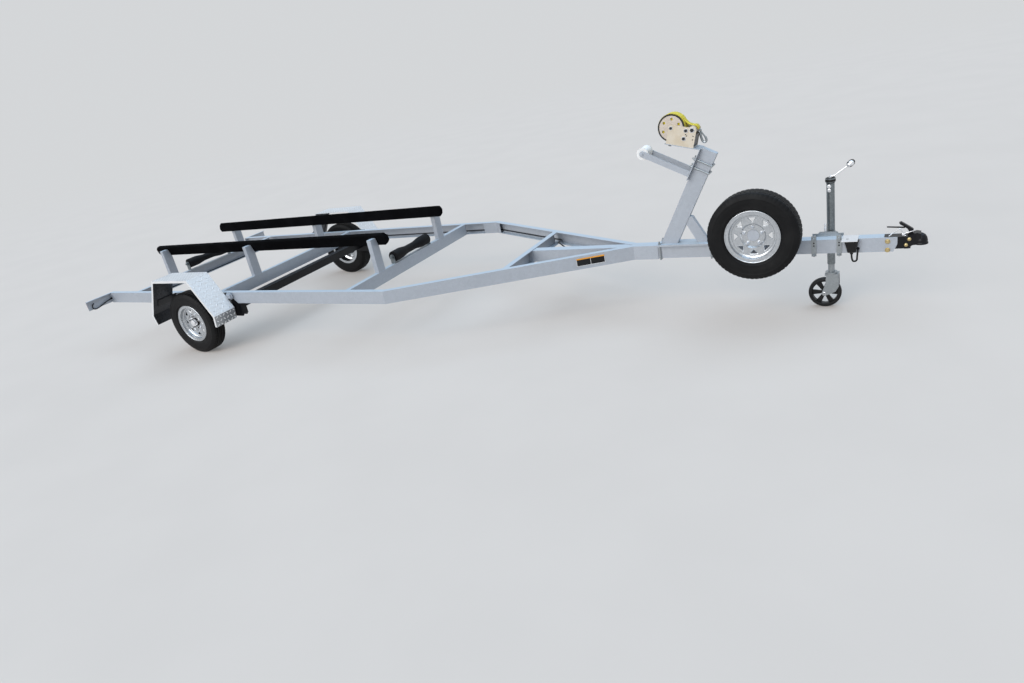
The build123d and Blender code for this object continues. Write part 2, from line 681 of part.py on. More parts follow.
def winch_post():
    """The leaning box post, its brace and the base plate on the tongue."""
    foot = POST_DEPTH / math.cos(LEAN)
    rise = POST_DEPTH * math.tan(LEAN)
    outline = [(WINCH_POST_X, POST_BASE_Z), (WINCH_POST_X + foot, POST_BASE_Z),
               on_post(WINCH_POST_L, POST_DEPTH), on_post(WINCH_POST_L, 0)]
    half = POST_WIDTH / 2
    tube = side_prism(outline, -half, half)
    wall = POST_WALL
    hollow = [on_post(rise + wall, wall), on_post(rise + wall, POST_DEPTH - wall),
              on_post(WINCH_POST_L - wall, POST_DEPTH - wall), on_post(WINCH_POST_L - wall, wall)]
    tube = tube - side_prism(hollow, -half + wall, half - wall)
    low = on_post(rise + BRACE_UP - BRACE_W, POST_DEPTH)
    high = on_post(rise + BRACE_UP, POST_DEPTH)
    toe_x = BASE_FRONT_X - 28.0
    brace = side_prism([low, high, (high[0] + 18, high[1] - 4), (toe_x, POST_BASE_Z),
                        (toe_x - BRACE_W * 1.3, POST_BASE_Z)], -BRACE_HALF, BRACE_HALF)
    base = box(BASE_REAR_X, BASE_FRONT_X, -BASE_HALF, BASE_HALF, TONGUE_TOP, POST_BASE_Z)
    for x in (BASE_REAR_X + 14, BASE_FRONT_X - 14):
        for side in (-1, 1):
            y = side * (TONGUE_HALF + UBOLT_R + CLEAR)
            base = base - rod((x, y, TONGUE_TOP - 1), (x, y, POST_BASE_Z + 1), UBOLT_HOLE_R)
    return tube + brace + base


def base_ubolts():
    """The two U-bolts that clamp the base plate to the tongue."""
    shapes = []
    for x in (BASE_REAR_X + 14, BASE_FRONT_X - 14):
        y = TONGUE_HALF + UBOLT_R + CLEAR
        low = TONGUE_LOW - UBOLT_R - CLEAR
        top = POST_BASE_Z + 22
        parts = [rod((x, -y, low), (x, y, low), UBOLT_R)]
        for side in (-1, 1):
            parts.append(rod((x, side * y, low), (x, side * y, top), UBOLT_R))
            parts.append(Pos(x, side * y, low) * Sphere(UBOLT_R))
            seat = POST_BASE_Z + CLEAR
            parts.append(rod((x, side * y, seat), (x, side * y, seat + 10), UBOLT_R + 4))
        shapes.append(union(parts))
    return shapes


POST_BOLTS = (PLATE_LOW + 88.0, PLATE_LOW + 141.0)


def winch_plate():
    """The angle plate: one leg on the post's rear face, the other a shelf for the winch."""
    tilt = math.radians(WINCH_TILT)
    bend = on_post(PLATE_HIGH, 0)
    outer = on_post(PLATE_HIGH, -PLATE_T)
    ahead = (-math.cos(tilt), math.sin(tilt))
    up = (math.sin(tilt), math.cos(tilt))
    shelf_end = (bend[0] + ahead[0] * PLATE_SHELF, bend[1] + ahead[1] * PLATE_SHELF)
    outline = [on_post(PLATE_LOW, 0), bend, shelf_end,
               (shelf_end[0] - up[0] * PLATE_T, shelf_end[1] - up[1] * PLATE_T),
               (outer[0], outer[1] - PLATE_T), on_post(PLATE_LOW, -PLATE_T)]
    plate = side_prism(outline, -PLATE_HALF, PLATE_HALF)
    for s in POST_BOLTS:
        for side in (-1, 1):
            y = side * (POST_WIDTH / 2 + UBOLT_R + CLEAR)
            ax, az = on_post(s, 1)
            bx, bz = on_post(s, -PLATE_T - 1)
            plate = plate - rod((ax, y, az), (bx, y, bz), UBOLT_HOLE_R)
    return plate


def post_ubolts():
    """The two U-bolts that clamp the winch plate to the post."""
    shapes = []
    y = POST_WIDTH / 2 + UBOLT_R + CLEAR
    for s in POST_BOLTS:
        front = on_post(s, POST_DEPTH + UBOLT_R + CLEAR)
        tail = on_post(s, -PLATE_T - 22)
        nut_in = on_post(s, -PLATE_T - CLEAR)
        nut_out = on_post(s, -PLATE_T - 10)
        parts = [rod((front[0], -y, front[1]), (front[0], y, front[1]), UBOLT_R)]
        for leg_y in (-y, y):
            parts.append(rod((front[0], leg_y, front[1]), (tail[0], leg_y, tail[1]), UBOLT_R))
            parts.append(Pos(front[0], leg_y, front[1]) * Sphere(UBOLT_R))
            parts.append(rod((nut_in[0], leg_y, nut_in[1]), (nut_out[0], leg_y, nut_out[1]), UBOLT_R + 4))
        shapes.append(union(parts))
    return shapes


def on_winch(v, w):
    """The (x, z) point at v rearward along the winch's base and w above it."""
    tilt = math.radians(WINCH_TILT)
    x0, z0 = on_post(PLATE_HIGH, 0)
    x = x0 - v * math.cos(tilt) + w * math.sin(tilt)
    z = z0 + v * math.sin(tilt) + w * math.cos(tilt)
    return (x, z)


# Shafts of the winch: distance rearward along its base and height above it
BAR_AT = (WINCH_AHEAD + 28.0, 111.0)
DRUM_AT = (WINCH_AHEAD + 167.0, 102.0)
PINION_AT = (WINCH_AHEAD + 67.0, 102.0)
TIE_AT = (WINCH_AHEAD + 72.0, 50.0)
BAR_R = 24.0              # sleeve that the strap runs over
DRUM_SHAFT_R = 8.0
PINION_R = 9.0
TIE_R = 6.0
SHAFT_OUT = 7.0


def winch_frame():
    """The U frame of the winch, with its front cross bar, its drum shaft and its tie bar."""
    v0 = WINCH_AHEAD
    v1 = WINCH_AHEAD + WINCH_L
    side = [on_winch(v0, 0), on_winch(v1, 0), on_winch(v1, WINCH_H - 8), on_winch(v1 - 8, WINCH_H),
            on_winch(v0 + 8, WINCH_H), on_winch(v0, WINCH_H - 8)]
    floor = [on_winch(v0, 0), on_winch(v1, 0), on_winch(v1, WINCH_T), on_winch(v0, WINCH_T)]
    parts = [side_prism(floor, -WINCH_HALF, WINCH_HALF)]
    for outer in (-WINCH_HALF, WINCH_HALF - WINCH_T):
        parts.append(side_prism(side, outer, outer + WINCH_T))
    bar_x, bar_z = on_winch(*BAR_AT)
    parts.append(rod((bar_x, -WINCH_HALF + 1, bar_z), (bar_x, WINCH_HALF - 1, bar_z), BAR_R))
    for place, radius in ((DRUM_AT, DRUM_SHAFT_R), (TIE_AT, TIE_R)):
        x, z = on_winch(*place)
        parts.append(rod((x, -WINCH_HALF - SHAFT_OUT, z), (x, WINCH_HALF + SHAFT_OUT, z), radius))
    x, z = on_winch(*PINION_AT)
    return union(parts) - rod((x, -WINCH_HALF - 1, z), (x, WINCH_HALF + 1, z), PINION_R + CLEAR)


def winch_gear():
    """The large drum gear, with holes, inside the near side plate."""
    x, z = on_winch(*DRUM_AT)
    near = -WINCH_HALF + WINCH_T + GEAR_GAP
    disc = rod((x, near, z), (x, near + GEAR_T, z), GEAR_R)
    for number in range(6):
        turn = math.radians(60 * number + 20)
        hole_x = x + 56 * math.cos(turn)
        hole_z = z + 56 * math.sin(turn)
        disc = disc - rod((hole_x, near - 1, hole_z), (hole_x, near + GEAR_T + 1, hole_z), 9.0)
    return disc - rod((x, near - 1, z), (x, near + GEAR_T + 1, z), DRUM_SHAFT_R + CLEAR)


def winch_drum():
    """The drum with its wound strap, on its shaft between gear and far side plate."""
    x, z = on_winch(*DRUM_AT)
    near = -WINCH_HALF + WINCH_T + GEAR_GAP + GEAR_T + CLEAR
    far = WINCH_HALF - WINCH_T - CLEAR
    core = rod((x, near, z), (x, far, z), DRUM_CORE_R)
    roll = rod((x, ROLL_NEAR, z), (x, ROLL_FAR, z), STRAP_R)
    return core + roll - rod((x, near - 1, z), (x, far + 1, z), DRUM_SHAFT_R + CLEAR)


def winch_handle():
    """The pinion shaft and its crank on the far side, pointing down behind the frame."""
    x, z = on_winch(*PINION_AT)
    end_x, end_z = on_winch(PINION_AT[0] + 122.0, PINION_AT[1] - 134.0)
    arm_y = WINCH_HALF + 30.0
    shaft = rod((x, -WINCH_HALF - SHAFT_OUT, z), (x, arm_y + 8, z), PINION_R)
    arm = rod((x, arm_y, z), (end_x, arm_y, end_z), 8.0)
    grip = rod((end_x, arm_y - 8, end_z), (end_x, arm_y + 98, end_z), 14.0)
    return union([shaft, arm, grip])


HOOK_LEAN = 22.0          # degrees that the hook leans forward
HOOK_EYE_R = 10.0
HOOK_LONG = 96.0
HOOK_WIDE = 38.0
HOOK_BAR = 10.0
HOOK_HALF = 6.0


def strap_line():
    """The middle line of the strap: off the drum, over the front bar and on to the hook."""
    x, z = on_winch(*DRUM_AT)
    over = on_winch(BAR_AT[0], BAR_AT[1] + BAR_R + STRAP_T / 2 + CLEAR)
    roll = STRAP_R + STRAP_T / 2 + CLEAR
    reach = math.hypot(over[0] - x, over[1] - z)
    turn = math.atan2(over[1] - z, over[0] - x) + math.acos(roll / reach)
    touch = (x + roll * math.cos(turn), z + roll * math.sin(turn))
    # Columns: forward of the bar, above its middle
    droop = [on_winch(BAR_AT[0] - ahead, BAR_AT[1] + up) for ahead, up in ((14, 24), (25, 15), (31, 3))]
    return [touch, over] + droop


def strap_end():
    """The strap from the drum over the front bar to the hook."""
    outline = band(strap_line(), -STRAP_T / 2, STRAP_T / 2)
    return side_prism(outline, -STRAP_W / 2, STRAP_W / 2)


def winch_hook():
    """The snap hook on the strap's end: an eye and a long loop that widens to its bend."""
    x, z = strap_line()[-1]
    half = HOOK_HALF
    wide = HOOK_WIDE / 2
    drop = -CLEAR - HOOK_EYE_R
    low = -HOOK_LONG
    outer = [(-7, drop), (-wide, low + 24), (-wide + 8, low + 6), (0, low), (wide - 8, low + 6),
             (wide, low + 24), (7, drop)]
    inner = [(0, drop - 24), (-wide + HOOK_BAR + 2, low + 30), (-wide + HOOK_BAR + 6, low + 14),
             (0, low + HOOK_BAR), (wide - HOOK_BAR - 6, low + 14), (wide - HOOK_BAR - 2, low + 30)]
    body = side_prism(outer, -half, half) + rod((0, -half, drop), (0, half, drop), HOOK_EYE_R)
    body = body - side_prism(inner, -half - 1, half + 1)
    body = body - rod((0, -half - 1, drop), (0, half + 1, drop), HOOK_EYE_R - 5)
    return Pos(x, 0, z) * Rot(0, -HOOK_LEAN, 0) * body


BOW_S = PLATE_LOW + BOW_UP
BOW_HALF = PLATE_HALF - ARM_BAR_T - BOW_END_GAP


def bow_arm():
    """Two flat bars from the winch plate's rear face back to the bow roller's pin."""
    x, z = on_post(BOW_S, -BOW_REACH)
    half = ARM_BAR_H / 2
    outline = [on_post(BOW_S - half, -PLATE_T), on_post(BOW_S + half, -PLATE_T),
               on_post(BOW_S + half, -BOW_REACH), on_post(BOW_S - half, -BOW_REACH)]
    parts = []
    for outer in (-PLATE_HALF, PLATE_HALF - ARM_BAR_T):
        parts.append(side_prism(outline, outer, outer + ARM_BAR_T))
        parts.append(rod((x, outer, z), (x, outer + ARM_BAR_T, z), half))
    parts.append(rod((x, -PLATE_HALF - PIN_HEAD, z), (x, PLATE_HALF + PIN_HEAD, z), BOW_PIN_R))
    return union(parts)


def bow_roller():
    """The hourglass roller that the bow rests against."""
    bore = BOW_PIN_R + RUN_FIT
    half = BOW_HALF
    profile = [(bore, -half), (BOW_R, -half), (BOW_R, -half + 6), (BOW_WAIST_R, -10), (BOW_WAIST_R, 10),
               (BOW_R, half - 6), (BOW_R, half), (bore, half)]
    x, z = on_post(BOW_S, -BOW_REACH)
    return turned(profile, x, z)


STRAP_XS = (JACK_X - 88.0, JACK_X + 58.0)
PIVOT_R = 10.0


def jack_clamp():
    """The plates bolted round the tongue that carry the jack's pivot."""
    far = TONGUE_HALF + 8
    low = RAIL_LOW - 10
    step = TONGUE_TOP + 17
    top = TONGUE_TOP + 29
    # Columns: distance from the jack's middle, height
    outline = [(-105, low), (78, low), (78, step), (46, step), (46, top - 8), (38, top), (-61, top),
               (-69, top - 8), (-69, step), (-105, step)]
    parts = [side_prism([(JACK_X + x, z) for x, z in outline], TONGUE_HALF, far)]
    for x in STRAP_XS:
        parts.append(box(x - 14.5, x + 14.5, -TONGUE_HALF - 8, -TONGUE_HALF, low, RAIL_TOP + 22))
        for z in (TONGUE_TOP + 8, TONGUE_LOW - 8):
            parts.append(rod((x, -TONGUE_HALF - 16, z), (x, far + 4, z), 6.0))
    parts.append(rod((JACK_X, far, JACK_PIVOT_Z), (JACK_X, far + 4, JACK_PIVOT_Z), 34.0))
    parts.append(rod((JACK_X, far + 4, JACK_PIVOT_Z), (JACK_X, JACK_Y - JACK_R - 1, JACK_PIVOT_Z), PIVOT_R))
    return union(parts)


def jack_tube():
    """The outer tube with its cap and the swivel plate that turns on the pivot."""
    tube = rod((JACK_X, JACK_Y, JACK_TUBE_LOW), (JACK_X, JACK_Y, JACK_TUBE_TOP), JACK_R)
    bore = rod((JACK_X, JACK_Y, JACK_TUBE_LOW - 1), (JACK_X, JACK_Y, JACK_TUBE_TOP - 30), JACK_R - JACK_WALL)
    cap = rod((JACK_X, JACK_Y, JACK_TUBE_TOP), (JACK_X, JACK_Y, JACK_CAP_TOP), JACK_CAP_R)
    near = TONGUE_HALF + 8 + 4 + 1
    saddle = box(JACK_X - 30, JACK_X + 30, near, JACK_Y, JACK_PIVOT_Z - 44, JACK_PIVOT_Z + 44)
    hole = rod((JACK_X, near - 1, JACK_PIVOT_Z), (JACK_X, JACK_Y - JACK_R, JACK_PIVOT_Z), PIVOT_R + RUN_FIT)
    return tube + cap + saddle - hole - bore


def jack_crank():
    """The crank on the cap, rising forward to its knob."""
    start = (JACK_X, JACK_Y, JACK_CAP_TOP)
    elbow = (JACK_X + 22, JACK_Y, JACK_CAP_TOP + 12)
    end = (JACK_X + 108, JACK_Y, JACK_CAP_TOP + 74)
    boss = rod(start, (JACK_X, JACK_Y, JACK_CAP_TOP + 12), 10.0)
    flat = rod((JACK_X, JACK_Y, JACK_CAP_TOP + 8), elbow, 6.0)
    arm = rod(elbow, end, 6.0)
    knob = Pos(JACK_X + 116, JACK_Y, JACK_CAP_TOP + 80) * Sphere(17.0)
    return union([boss, flat, arm, knob, Pos(*elbow) * Sphere(6.0)])


def jack_inner_tube():
    """The inner tube that slides in the outer one, with its collar."""
    tube = rod((JACK_X, JACK_Y, JACK_COLLAR_LOW), (JACK_X, JACK_Y, JACK_TUBE_LOW + 260), JACK_INNER_R)
    collar = rod((JACK_X, JACK_Y, JACK_COLLAR_LOW), (JACK_X, JACK_Y, JACK_COLLAR_LOW + 10), 36.0)
    stem = rod((JACK_X, JACK_Y, JACK_COLLAR_LOW - 12), (JACK_X, JACK_Y, JACK_COLLAR_LOW), 8.0)
    return union([tube, collar, stem])


def jack_fork():
    """The castor fork under the inner tube."""
    top = JACK_COLLAR_LOW - 1
    axle_x = JACK_X - JACK_TRAIL
    gap = JACK_WHEEL_W / 2 + 5
    outer = gap + 4
    plate = box(JACK_X - 38, JACK_X + 46, JACK_Y - outer, JACK_Y + outer, top - 10, top)
    parts = [plate]
    hub_z = JACK_WHEEL_R
    outline = [(JACK_X - 30, top - 10), (JACK_X + 46, top - 10), (JACK_X + 46, hub_z + 48),
               (JACK_X + 26, hub_z + 12), (axle_x + 8, hub_z - 16), (axle_x - 16, hub_z + 8),
               (JACK_X - 34, hub_z + 66)]
    for side in (-1, 1):
        low, high = sorted((JACK_Y + side * gap, JACK_Y + side * outer))
        parts.append(side_prism(outline, low, high))
        parts.append(rod((axle_x, low, hub_z), (axle_x, high, hub_z), 18.0))
    pin_half = outer + 6
    parts.append(rod((axle_x, JACK_Y - pin_half, hub_z), (axle_x, JACK_Y + pin_half, hub_z), JACK_PIN_R))
    stem_hole = rod((JACK_X, JACK_Y, top - 12), (JACK_X, JACK_Y, top + 1), 8.0 + RUN_FIT)
    return union(parts) - stem_hole


def jack_wheel():
    """The jack's wheel, with its hub and openings."""
    half = JACK_WHEEL_W / 2
    bore = JACK_PIN_R + RUN_FIT
    x = JACK_X - JACK_TRAIL
    profile = [(bore, -half), (22, -half), (22, -8), (78, -8), (78, -half + 3), (JACK_WHEEL_R - 6, -half),
               (JACK_WHEEL_R, -half + 7), (JACK_WHEEL_R, half - 7), (JACK_WHEEL_R - 6, half),
               (78, half - 3), (78, 8), (22, 8), (22, half), (bore, half)]
    body = turned([(r, JACK_Y + y) for r, y in profile], x, JACK_WHEEL_R)
    for number in range(6):
        turn = math.radians(60 * number + 30)
        hole_x = x + 50 * math.cos(turn)
        hole_z = JACK_WHEEL_R + 50 * math.sin(turn)
        body = body - rod((hole_x, JACK_Y - 12, hole_z), (hole_x, JACK_Y + 12, hole_z), 15.0)
    return body


def coupler_channel():
    """The channel, its web on top, in the tongue's end, with the bolts of tongue and coupler."""
    half = TONGUE_HALF - TONGUE_WALL - CLEAR
    rear = TONGUE_X - TOP_CUT + CLEAR
    front = TONGUE_X + NECK_AHEAD
    low = TONGUE_LOW + NECK_UP
    body = box(rear, front, -half, half, low, TONGUE_TOP)
    body = body - box(rear - 1, front + 1, -half + NECK_T, half - NECK_T, low - 1, TONGUE_TOP - NECK_T)
    for ahead, z, head_r, head_h in TONGUE_BOLTS + NECK_BOLTS:
        x = TONGUE_X + ahead
        body = body + across(x, z, TONGUE_HALF + head_h, BOLT_R)
        for side in (-1, 1):
            seat = side * (TONGUE_HALF + CLEAR)
            body = body + rod((x, seat, z), (x, side * (TONGUE_HALF + head_h), z), head_r)
    return body


def coupler_head():
    """The coupler body: a neck over the channel and a rounded, flared head over the ball, open below."""
    rear = TONGUE_X + HEAD_BACK
    half = TONGUE_HALF
    low = TONGUE_LOW + NECK_UP
    side = side_prism([(rear, low), (rear + 22, low), (rear + 41, HEAD_LOW), (SOCKET_X, HEAD_LOW),
                       (SOCKET_X, HEAD_TOP), (rear + 63, HEAD_TOP + 6), (rear + 26, HEAD_TOP - 10),
                       (rear, HEAD_TOP - 15)], -half, half)
    waist = half - 9
    plan = plan_prism([(rear, half), (rear + 38, half), (rear + 62, waist), (SOCKET_X, waist + 4),
                       (SOCKET_X, -waist - 4), (rear + 62, -waist), (rear + 38, -half), (rear, -half)],
                      low - 1, HEAD_TOP + 10)
    # Columns: radius, height
    dome = upright([(0, HEAD_LOW), (LIP_R, HEAD_LOW), (LIP_R, HEAD_LOW + 7), (HEAD_R, HEAD_LOW + 12),
                    (HEAD_R, HEAD_TOP - 44), (HEAD_R - 4, HEAD_TOP - 28), (HEAD_R - 13, HEAD_TOP - 13),
                    (HEAD_R - 27, HEAD_TOP - 3), (0, HEAD_TOP)], SOCKET_X, 0)
    slot_half = TONGUE_HALF - TONGUE_WALL
    slot = box(rear - 1, TONGUE_X + NECK_AHEAD + CLEAR, -slot_half, slot_half, low - 1, TONGUE_TOP + CLEAR)
    socket = rod((SOCKET_X, 0, HEAD_LOW - 1), (SOCKET_X, 0, SOCKET_TOP), SOCKET_R)
    body = (side & plan) + dome - slot - socket
    for ahead, z, _, _ in NECK_BOLTS:
        body = body - across(TONGUE_X + ahead, z, half + 1, BOLT_HOLE_R)
    return body


def coupler_lever():
    """The latch lever on top of the coupler, with its trigger."""
    foot_x = COUPLER_X - 87
    # Columns: distance from the lever's foot, height
    outline = [(-53, 500.4), (3, 512), (9, 537), (-57, 585), (-69, 580), (-61, 552)]
    handle = side_prism([(foot_x + x, z) for x, z in outline], -LEVER_HALF, LEVER_HALF)
    trigger = rod((foot_x - 133, 0, 555), (foot_x - 56, 0, 545), TRIGGER_R)
    return handle + trigger - Pos(0, 0, CLEAR) * coupler_head()


def plug_holder():
    """The small plate on the tongue that parks the trailer's plug."""
    plate = box(PLUG_X - 56, PLUG_X + 35, PLUG_Y - 32, TONGUE_HALF - 8, TONGUE_TOP, TONGUE_TOP + HOLDER_T)
    hole_x = PLUG_X - 24
    hole_y = PLUG_Y + 20
    return plate - rod((hole_x, hole_y, TONGUE_TOP - 1), (hole_x, hole_y, TONGUE_TOP + HOLDER_T + 1), 8.0)


def trailer_plug():
    """The parked plug under its holder: an oval body that narrows to its cable."""
    top = Pos(PLUG_X, PLUG_Y, TONGUE_TOP - CLEAR) * Ellipse(*PLUG_HALF)
    end = Pos(PLUG_X, PLUG_Y, PLUG_LOW) * Ellipse(*PLUG_END_HALF)
    body = loft([end.face(), top.face()])
    return body + rod((PLUG_X, PLUG_Y, PLUG_LOW - PLUG_TAIL), (PLUG_X, PLUG_Y, PLUG_LOW + 1), PLUG_TAIL_R)


PLUG_CABLE = [(PLUG_X + 34.5, -TONGUE_HALF - CLEAR, 436.0), (PLUG_X + 34.5, -60.0, 436.0),
              (PLUG_X + 32.0, PLUG_Y, 400.0), (PLUG_X + 29.5, PLUG_Y, 363.5),
              (PLUG_X, PLUG_Y, 363.5), (PLUG_X, PLUG_Y, PLUG_LOW - PLUG_TAIL)]

LAMP_CABLE = [(REAR_X + 11.0, -FRAME_HALF - CLEAR, 450.0), (REAR_X + 11.0, -FRAME_HALF - 42.0, 446.0),
              (REAR_X + 10.0, -FRAME_HALF - 92.0, 432.0), (REAR_X + 9.0, -FRAME_HALF - 148.0, 413.0),
              (REAR_X + 9.0, -FRAME_HALF - 206.0, 409.0), (REAR_X + 9.0, -FRAME_HALF - 214.0, 456.0),
              (REAR_X + 5.6, -FRAME_HALF - 184.0, 468.0)]

HARNESS_Y = FRAME_HALF - CHANNEL_T - HARNESS_R
HARNESS_Z = RAIL_LOW + 24.0


def lamp_bracket():
    """The left lamp bracket: a plate on the rail's end that reaches outwards, and its lip."""
    plate = box(REAR_X - BRACKET_T, REAR_X, FRAME_HALF - CHANNEL_B, BRACKET_OUT,
                RAIL_TOP - BRACKET_H, RAIL_TOP)
    lip = box(REAR_X - 1, REAR_X + BRACKET_LIP, FRAME_HALF + CLEAR, BRACKET_OUT,
              RAIL_TOP - BRACKET_T, RAIL_TOP)
    return plate + lip


def tail_lamp():
    """The left tail lamp on the rear face of its bracket."""
    rear = REAR_X - BRACKET_T
    y1 = BRACKET_OUT - 8
    low = RAIL_TOP - BRACKET_H + LAMP_UP
    return box(rear - LAMP_DEEP, rear, y1 - LAMP_W, y1, low, low + LAMP_H)


def markers():
    """The two blank plates on the left leg, and the reflector strip over them."""
    step = MARKER_LONG + MARKER_GAP
    plates = [leg_plate(MARKER_START + step * number, MARKER_LONG, MARKER_T, MARKER_LOW, MARKER_H)
              for number in (0, 1)]
    strip = leg_plate(MARKER_START, step + MARKER_LONG, REFLECTOR_T, MARKER_LOW + MARKER_H + 1, REFLECTOR_H)
    return plates, strip


def harness():
    """The wiring: along the left rail and leg and over to the tongue, and across behind the axle."""
    leg = inset(RAIL_PLAN, CHANNEL_T + HARNESS_R)
    (kx, ky), (jx, jy) = leg[1:3]
    stop = (CROSS_DRAWBAR_X + 20 - kx) / (jx - kx)
    points = [(REAR_X + 30, HARNESS_Y, HARNESS_Z), (kx, ky, HARNESS_Z),
              (kx + (jx - kx) * stop, ky + (jy - ky) * stop, HARNESS_Z),
              (CROSS_DRAWBAR_X + 99, 235, HARNESS_Z + 46), (CROSS_DRAWBAR_X + 224, 95, HARNESS_Z + 46),
              (CROSS_DRAWBAR_X + 290, TONGUE_HALF + HARNESS_R, HARNESS_Z + 36)]
    cross_y = FRAME_HALF - CHANNEL_B - 12
    cross_x = CROSS_REAR_X - 16
    cross_z = RAIL_LOW + CHANNEL_T + HARNESS_R
    across = rod((cross_x, -cross_y, cross_z), (cross_x, cross_y, cross_z), HARNESS_R)
    return [along(points, HARNESS_R, 60.0), across]


def build():
    """Every node's name with its solids."""
    nodes = {}
    rail = side_rail()
    nodes["side_rail_left"] = [rail]
    nodes["side_rail_right"] = [other_side(rail)]
    closing = boxing_plate()
    nodes["boxing_plates"] = [closing, other_side(closing)]
    bracket = lamp_bracket()
    nodes["lamp_brackets"] = [bracket, other_side(bracket)]
    plates, strip = markers()
    nodes["marker_plates"] = plates + [other_side(plate) for plate in plates]
    nodes["side_reflectors"] = [strip, other_side(strip)]
    half = FRAME_HALF - CHANNEL_B
    # Columns: node, front edge, opens forward
    for node, front_x, opens in (("crossmember_rear", CROSS_REAR_X, True),
                                 ("crossmember_middle", CROSS_MIDDLE_X, False),
                                 ("crossmember_front", CROSS_FRONT_X, False)):
        nodes[node] = [cross_channel(front_x, opens, half)]
    nodes["crossmember_drawbar"] = [drawbar_cross_member()]
    nodes["tongue"] = [tongue()]
    plank = bunk()
    nodes["bunk_left"] = [plank]
    nodes["bunk_right"] = [other_side(plank)]
    posts = [bunk_post(x) for x in (CROSS_REAR_X, CROSS_MIDDLE_X, CROSS_FRONT_X)]
    nodes["bunk_posts"] = posts + [other_side(post) for post in posts]
    for name, front_x, pin_z in (("rear", CROSS_REAR_X, KEEL_REAR_Z), ("front", CROSS_FRONT_X, KEEL_FRONT_Z)):
        nodes["keel_bracket_" + name] = [keel_bracket(front_x, pin_z)]
        nodes["keel_roller_" + name] = [keel_roller(front_x, pin_z)]
    nodes["axle_beam"] = [axle_beam()]
    mount = axle_mount()
    nodes["axle_mounts"] = [mount, other_side(mount)]
    arm = swing_arm()
    nodes["swing_arms"] = [arm, other_side(arm)]
    for name, shape in (("hub", hub()), ("rim", rim(AXLE_X, WHEEL_Y, TYRE_R)),
                        ("tyre", tyre(AXLE_X, WHEEL_Y, TYRE_R))):
        nodes[name + "_left"] = [shape]
        nodes[name + "_right"] = [other_side(shape)]
    mudguard = fender()
    nodes["fender_left"] = [mudguard]
    nodes["fender_right"] = [other_side(mudguard)]
    stays = [fender_stay(True), fender_stay(False)]
    nodes["fender_stays"] = stays + [other_side(stay) for stay in stays]
    nodes["spare_carrier"] = [spare_carrier()]
    nodes["spare_rim"] = [other_side(rim(SPARE_X, -SPARE_Y, SPARE_Z))]
    nodes["spare_tyre"] = [other_side(tyre(SPARE_X, -SPARE_Y, SPARE_Z))]
    nodes["winch_post"] = [winch_post()]
    nodes["ubolts"] = base_ubolts() + post_ubolts()
    nodes["winch_plate"] = [winch_plate()]
    nodes["winch_frame"] = [winch_frame()]
    nodes["winch_gear"] = [winch_gear()]
    nodes["winch_drum"] = [winch_drum()]
    nodes["winch_strap"] = [strap_end()]
    nodes["winch_hook"] = [winch_hook()]
    nodes["winch_handle"] = [winch_handle()]
    nodes["bow_arm"] = [bow_arm()]
    nodes["bow_roller"] = [bow_roller()]
    nodes["jack_clamp"] = [jack_clamp()]
    nodes["jack_tube"] = [jack_tube()]
    nodes["jack_crank"] = [jack_crank()]
    nodes["jack_inner_tube"] = [jack_inner_tube()]
    nodes["jack_fork"] = [jack_fork()]
    nodes["jack_wheel"] = [jack_wheel()]
    nodes["coupler_channel"] = [coupler_channel()]
    nodes["coupler_head"] = [coupler_head()]
    nodes["coupler_lever"] = [coupler_lever()]
    nodes["plug_holder"] = [plug_holder()]
    nodes["trailer_plug"] = [trailer_plug()]
    nodes["plug_cable"] = [along(PLUG_CABLE, PLUG_CABLE_R)]
    lamp = tail_lamp()
    nodes["tail_lamps"] = [lamp, other_side(lamp)]
    nodes["lamp_cable"] = [along(LAMP_CABLE, LAMP_CABLE_R)]
    nodes["wiring_harness"] = harness()
    return nodes


os.makedirs("parts", exist_ok=True)
for name, solids in build().items():
    if len(solids) == 1:
        export_step(solids[0], "parts/" + name + ".step")
    else:
        export_step(Compound(children=solids), "parts/" + name + ".step")
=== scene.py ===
import json
import logging
import math
from dataclasses import dataclass
from enum import Enum
from typing import Callable, Optional, Sequence, Union

import bmesh
import bpy
from mathutils import Matrix, Vector


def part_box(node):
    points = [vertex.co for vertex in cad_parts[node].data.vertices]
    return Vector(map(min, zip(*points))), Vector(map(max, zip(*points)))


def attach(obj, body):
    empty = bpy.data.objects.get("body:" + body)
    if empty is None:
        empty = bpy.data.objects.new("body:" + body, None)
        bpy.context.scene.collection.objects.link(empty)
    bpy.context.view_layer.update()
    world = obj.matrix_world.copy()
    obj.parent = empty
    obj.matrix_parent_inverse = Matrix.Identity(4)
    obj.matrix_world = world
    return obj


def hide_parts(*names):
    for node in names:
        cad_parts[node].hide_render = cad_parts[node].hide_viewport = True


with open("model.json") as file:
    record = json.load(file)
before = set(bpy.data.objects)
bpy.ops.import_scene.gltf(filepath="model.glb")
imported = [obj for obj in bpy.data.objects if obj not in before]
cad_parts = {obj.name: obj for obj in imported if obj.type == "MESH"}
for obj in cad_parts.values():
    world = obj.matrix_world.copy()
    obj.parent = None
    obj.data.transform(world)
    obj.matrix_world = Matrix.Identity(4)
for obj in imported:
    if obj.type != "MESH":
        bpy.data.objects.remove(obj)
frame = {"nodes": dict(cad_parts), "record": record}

LOG = logging.getLogger("trailer")

Object = bpy.types.Object
Point = tuple[float, float, float]
Colour = tuple[float, float, float]
Profile = Sequence[tuple[float, float]]

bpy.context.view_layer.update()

AXLE_X = -2.071
WHEEL_Y = 1.037
WHEEL_Z = 0.2825
ROUND = 2 * math.pi
DIAGONAL = 0.7071
SHARP = 35.0
WELD = 1e-6
DUST = (0.36, 0.33, 0.29)


class Side(Enum):
    """The side of the trailer that a piece is on, as the sign of its Y."""

    LEFT = 1
    RIGHT = -1


# Shading

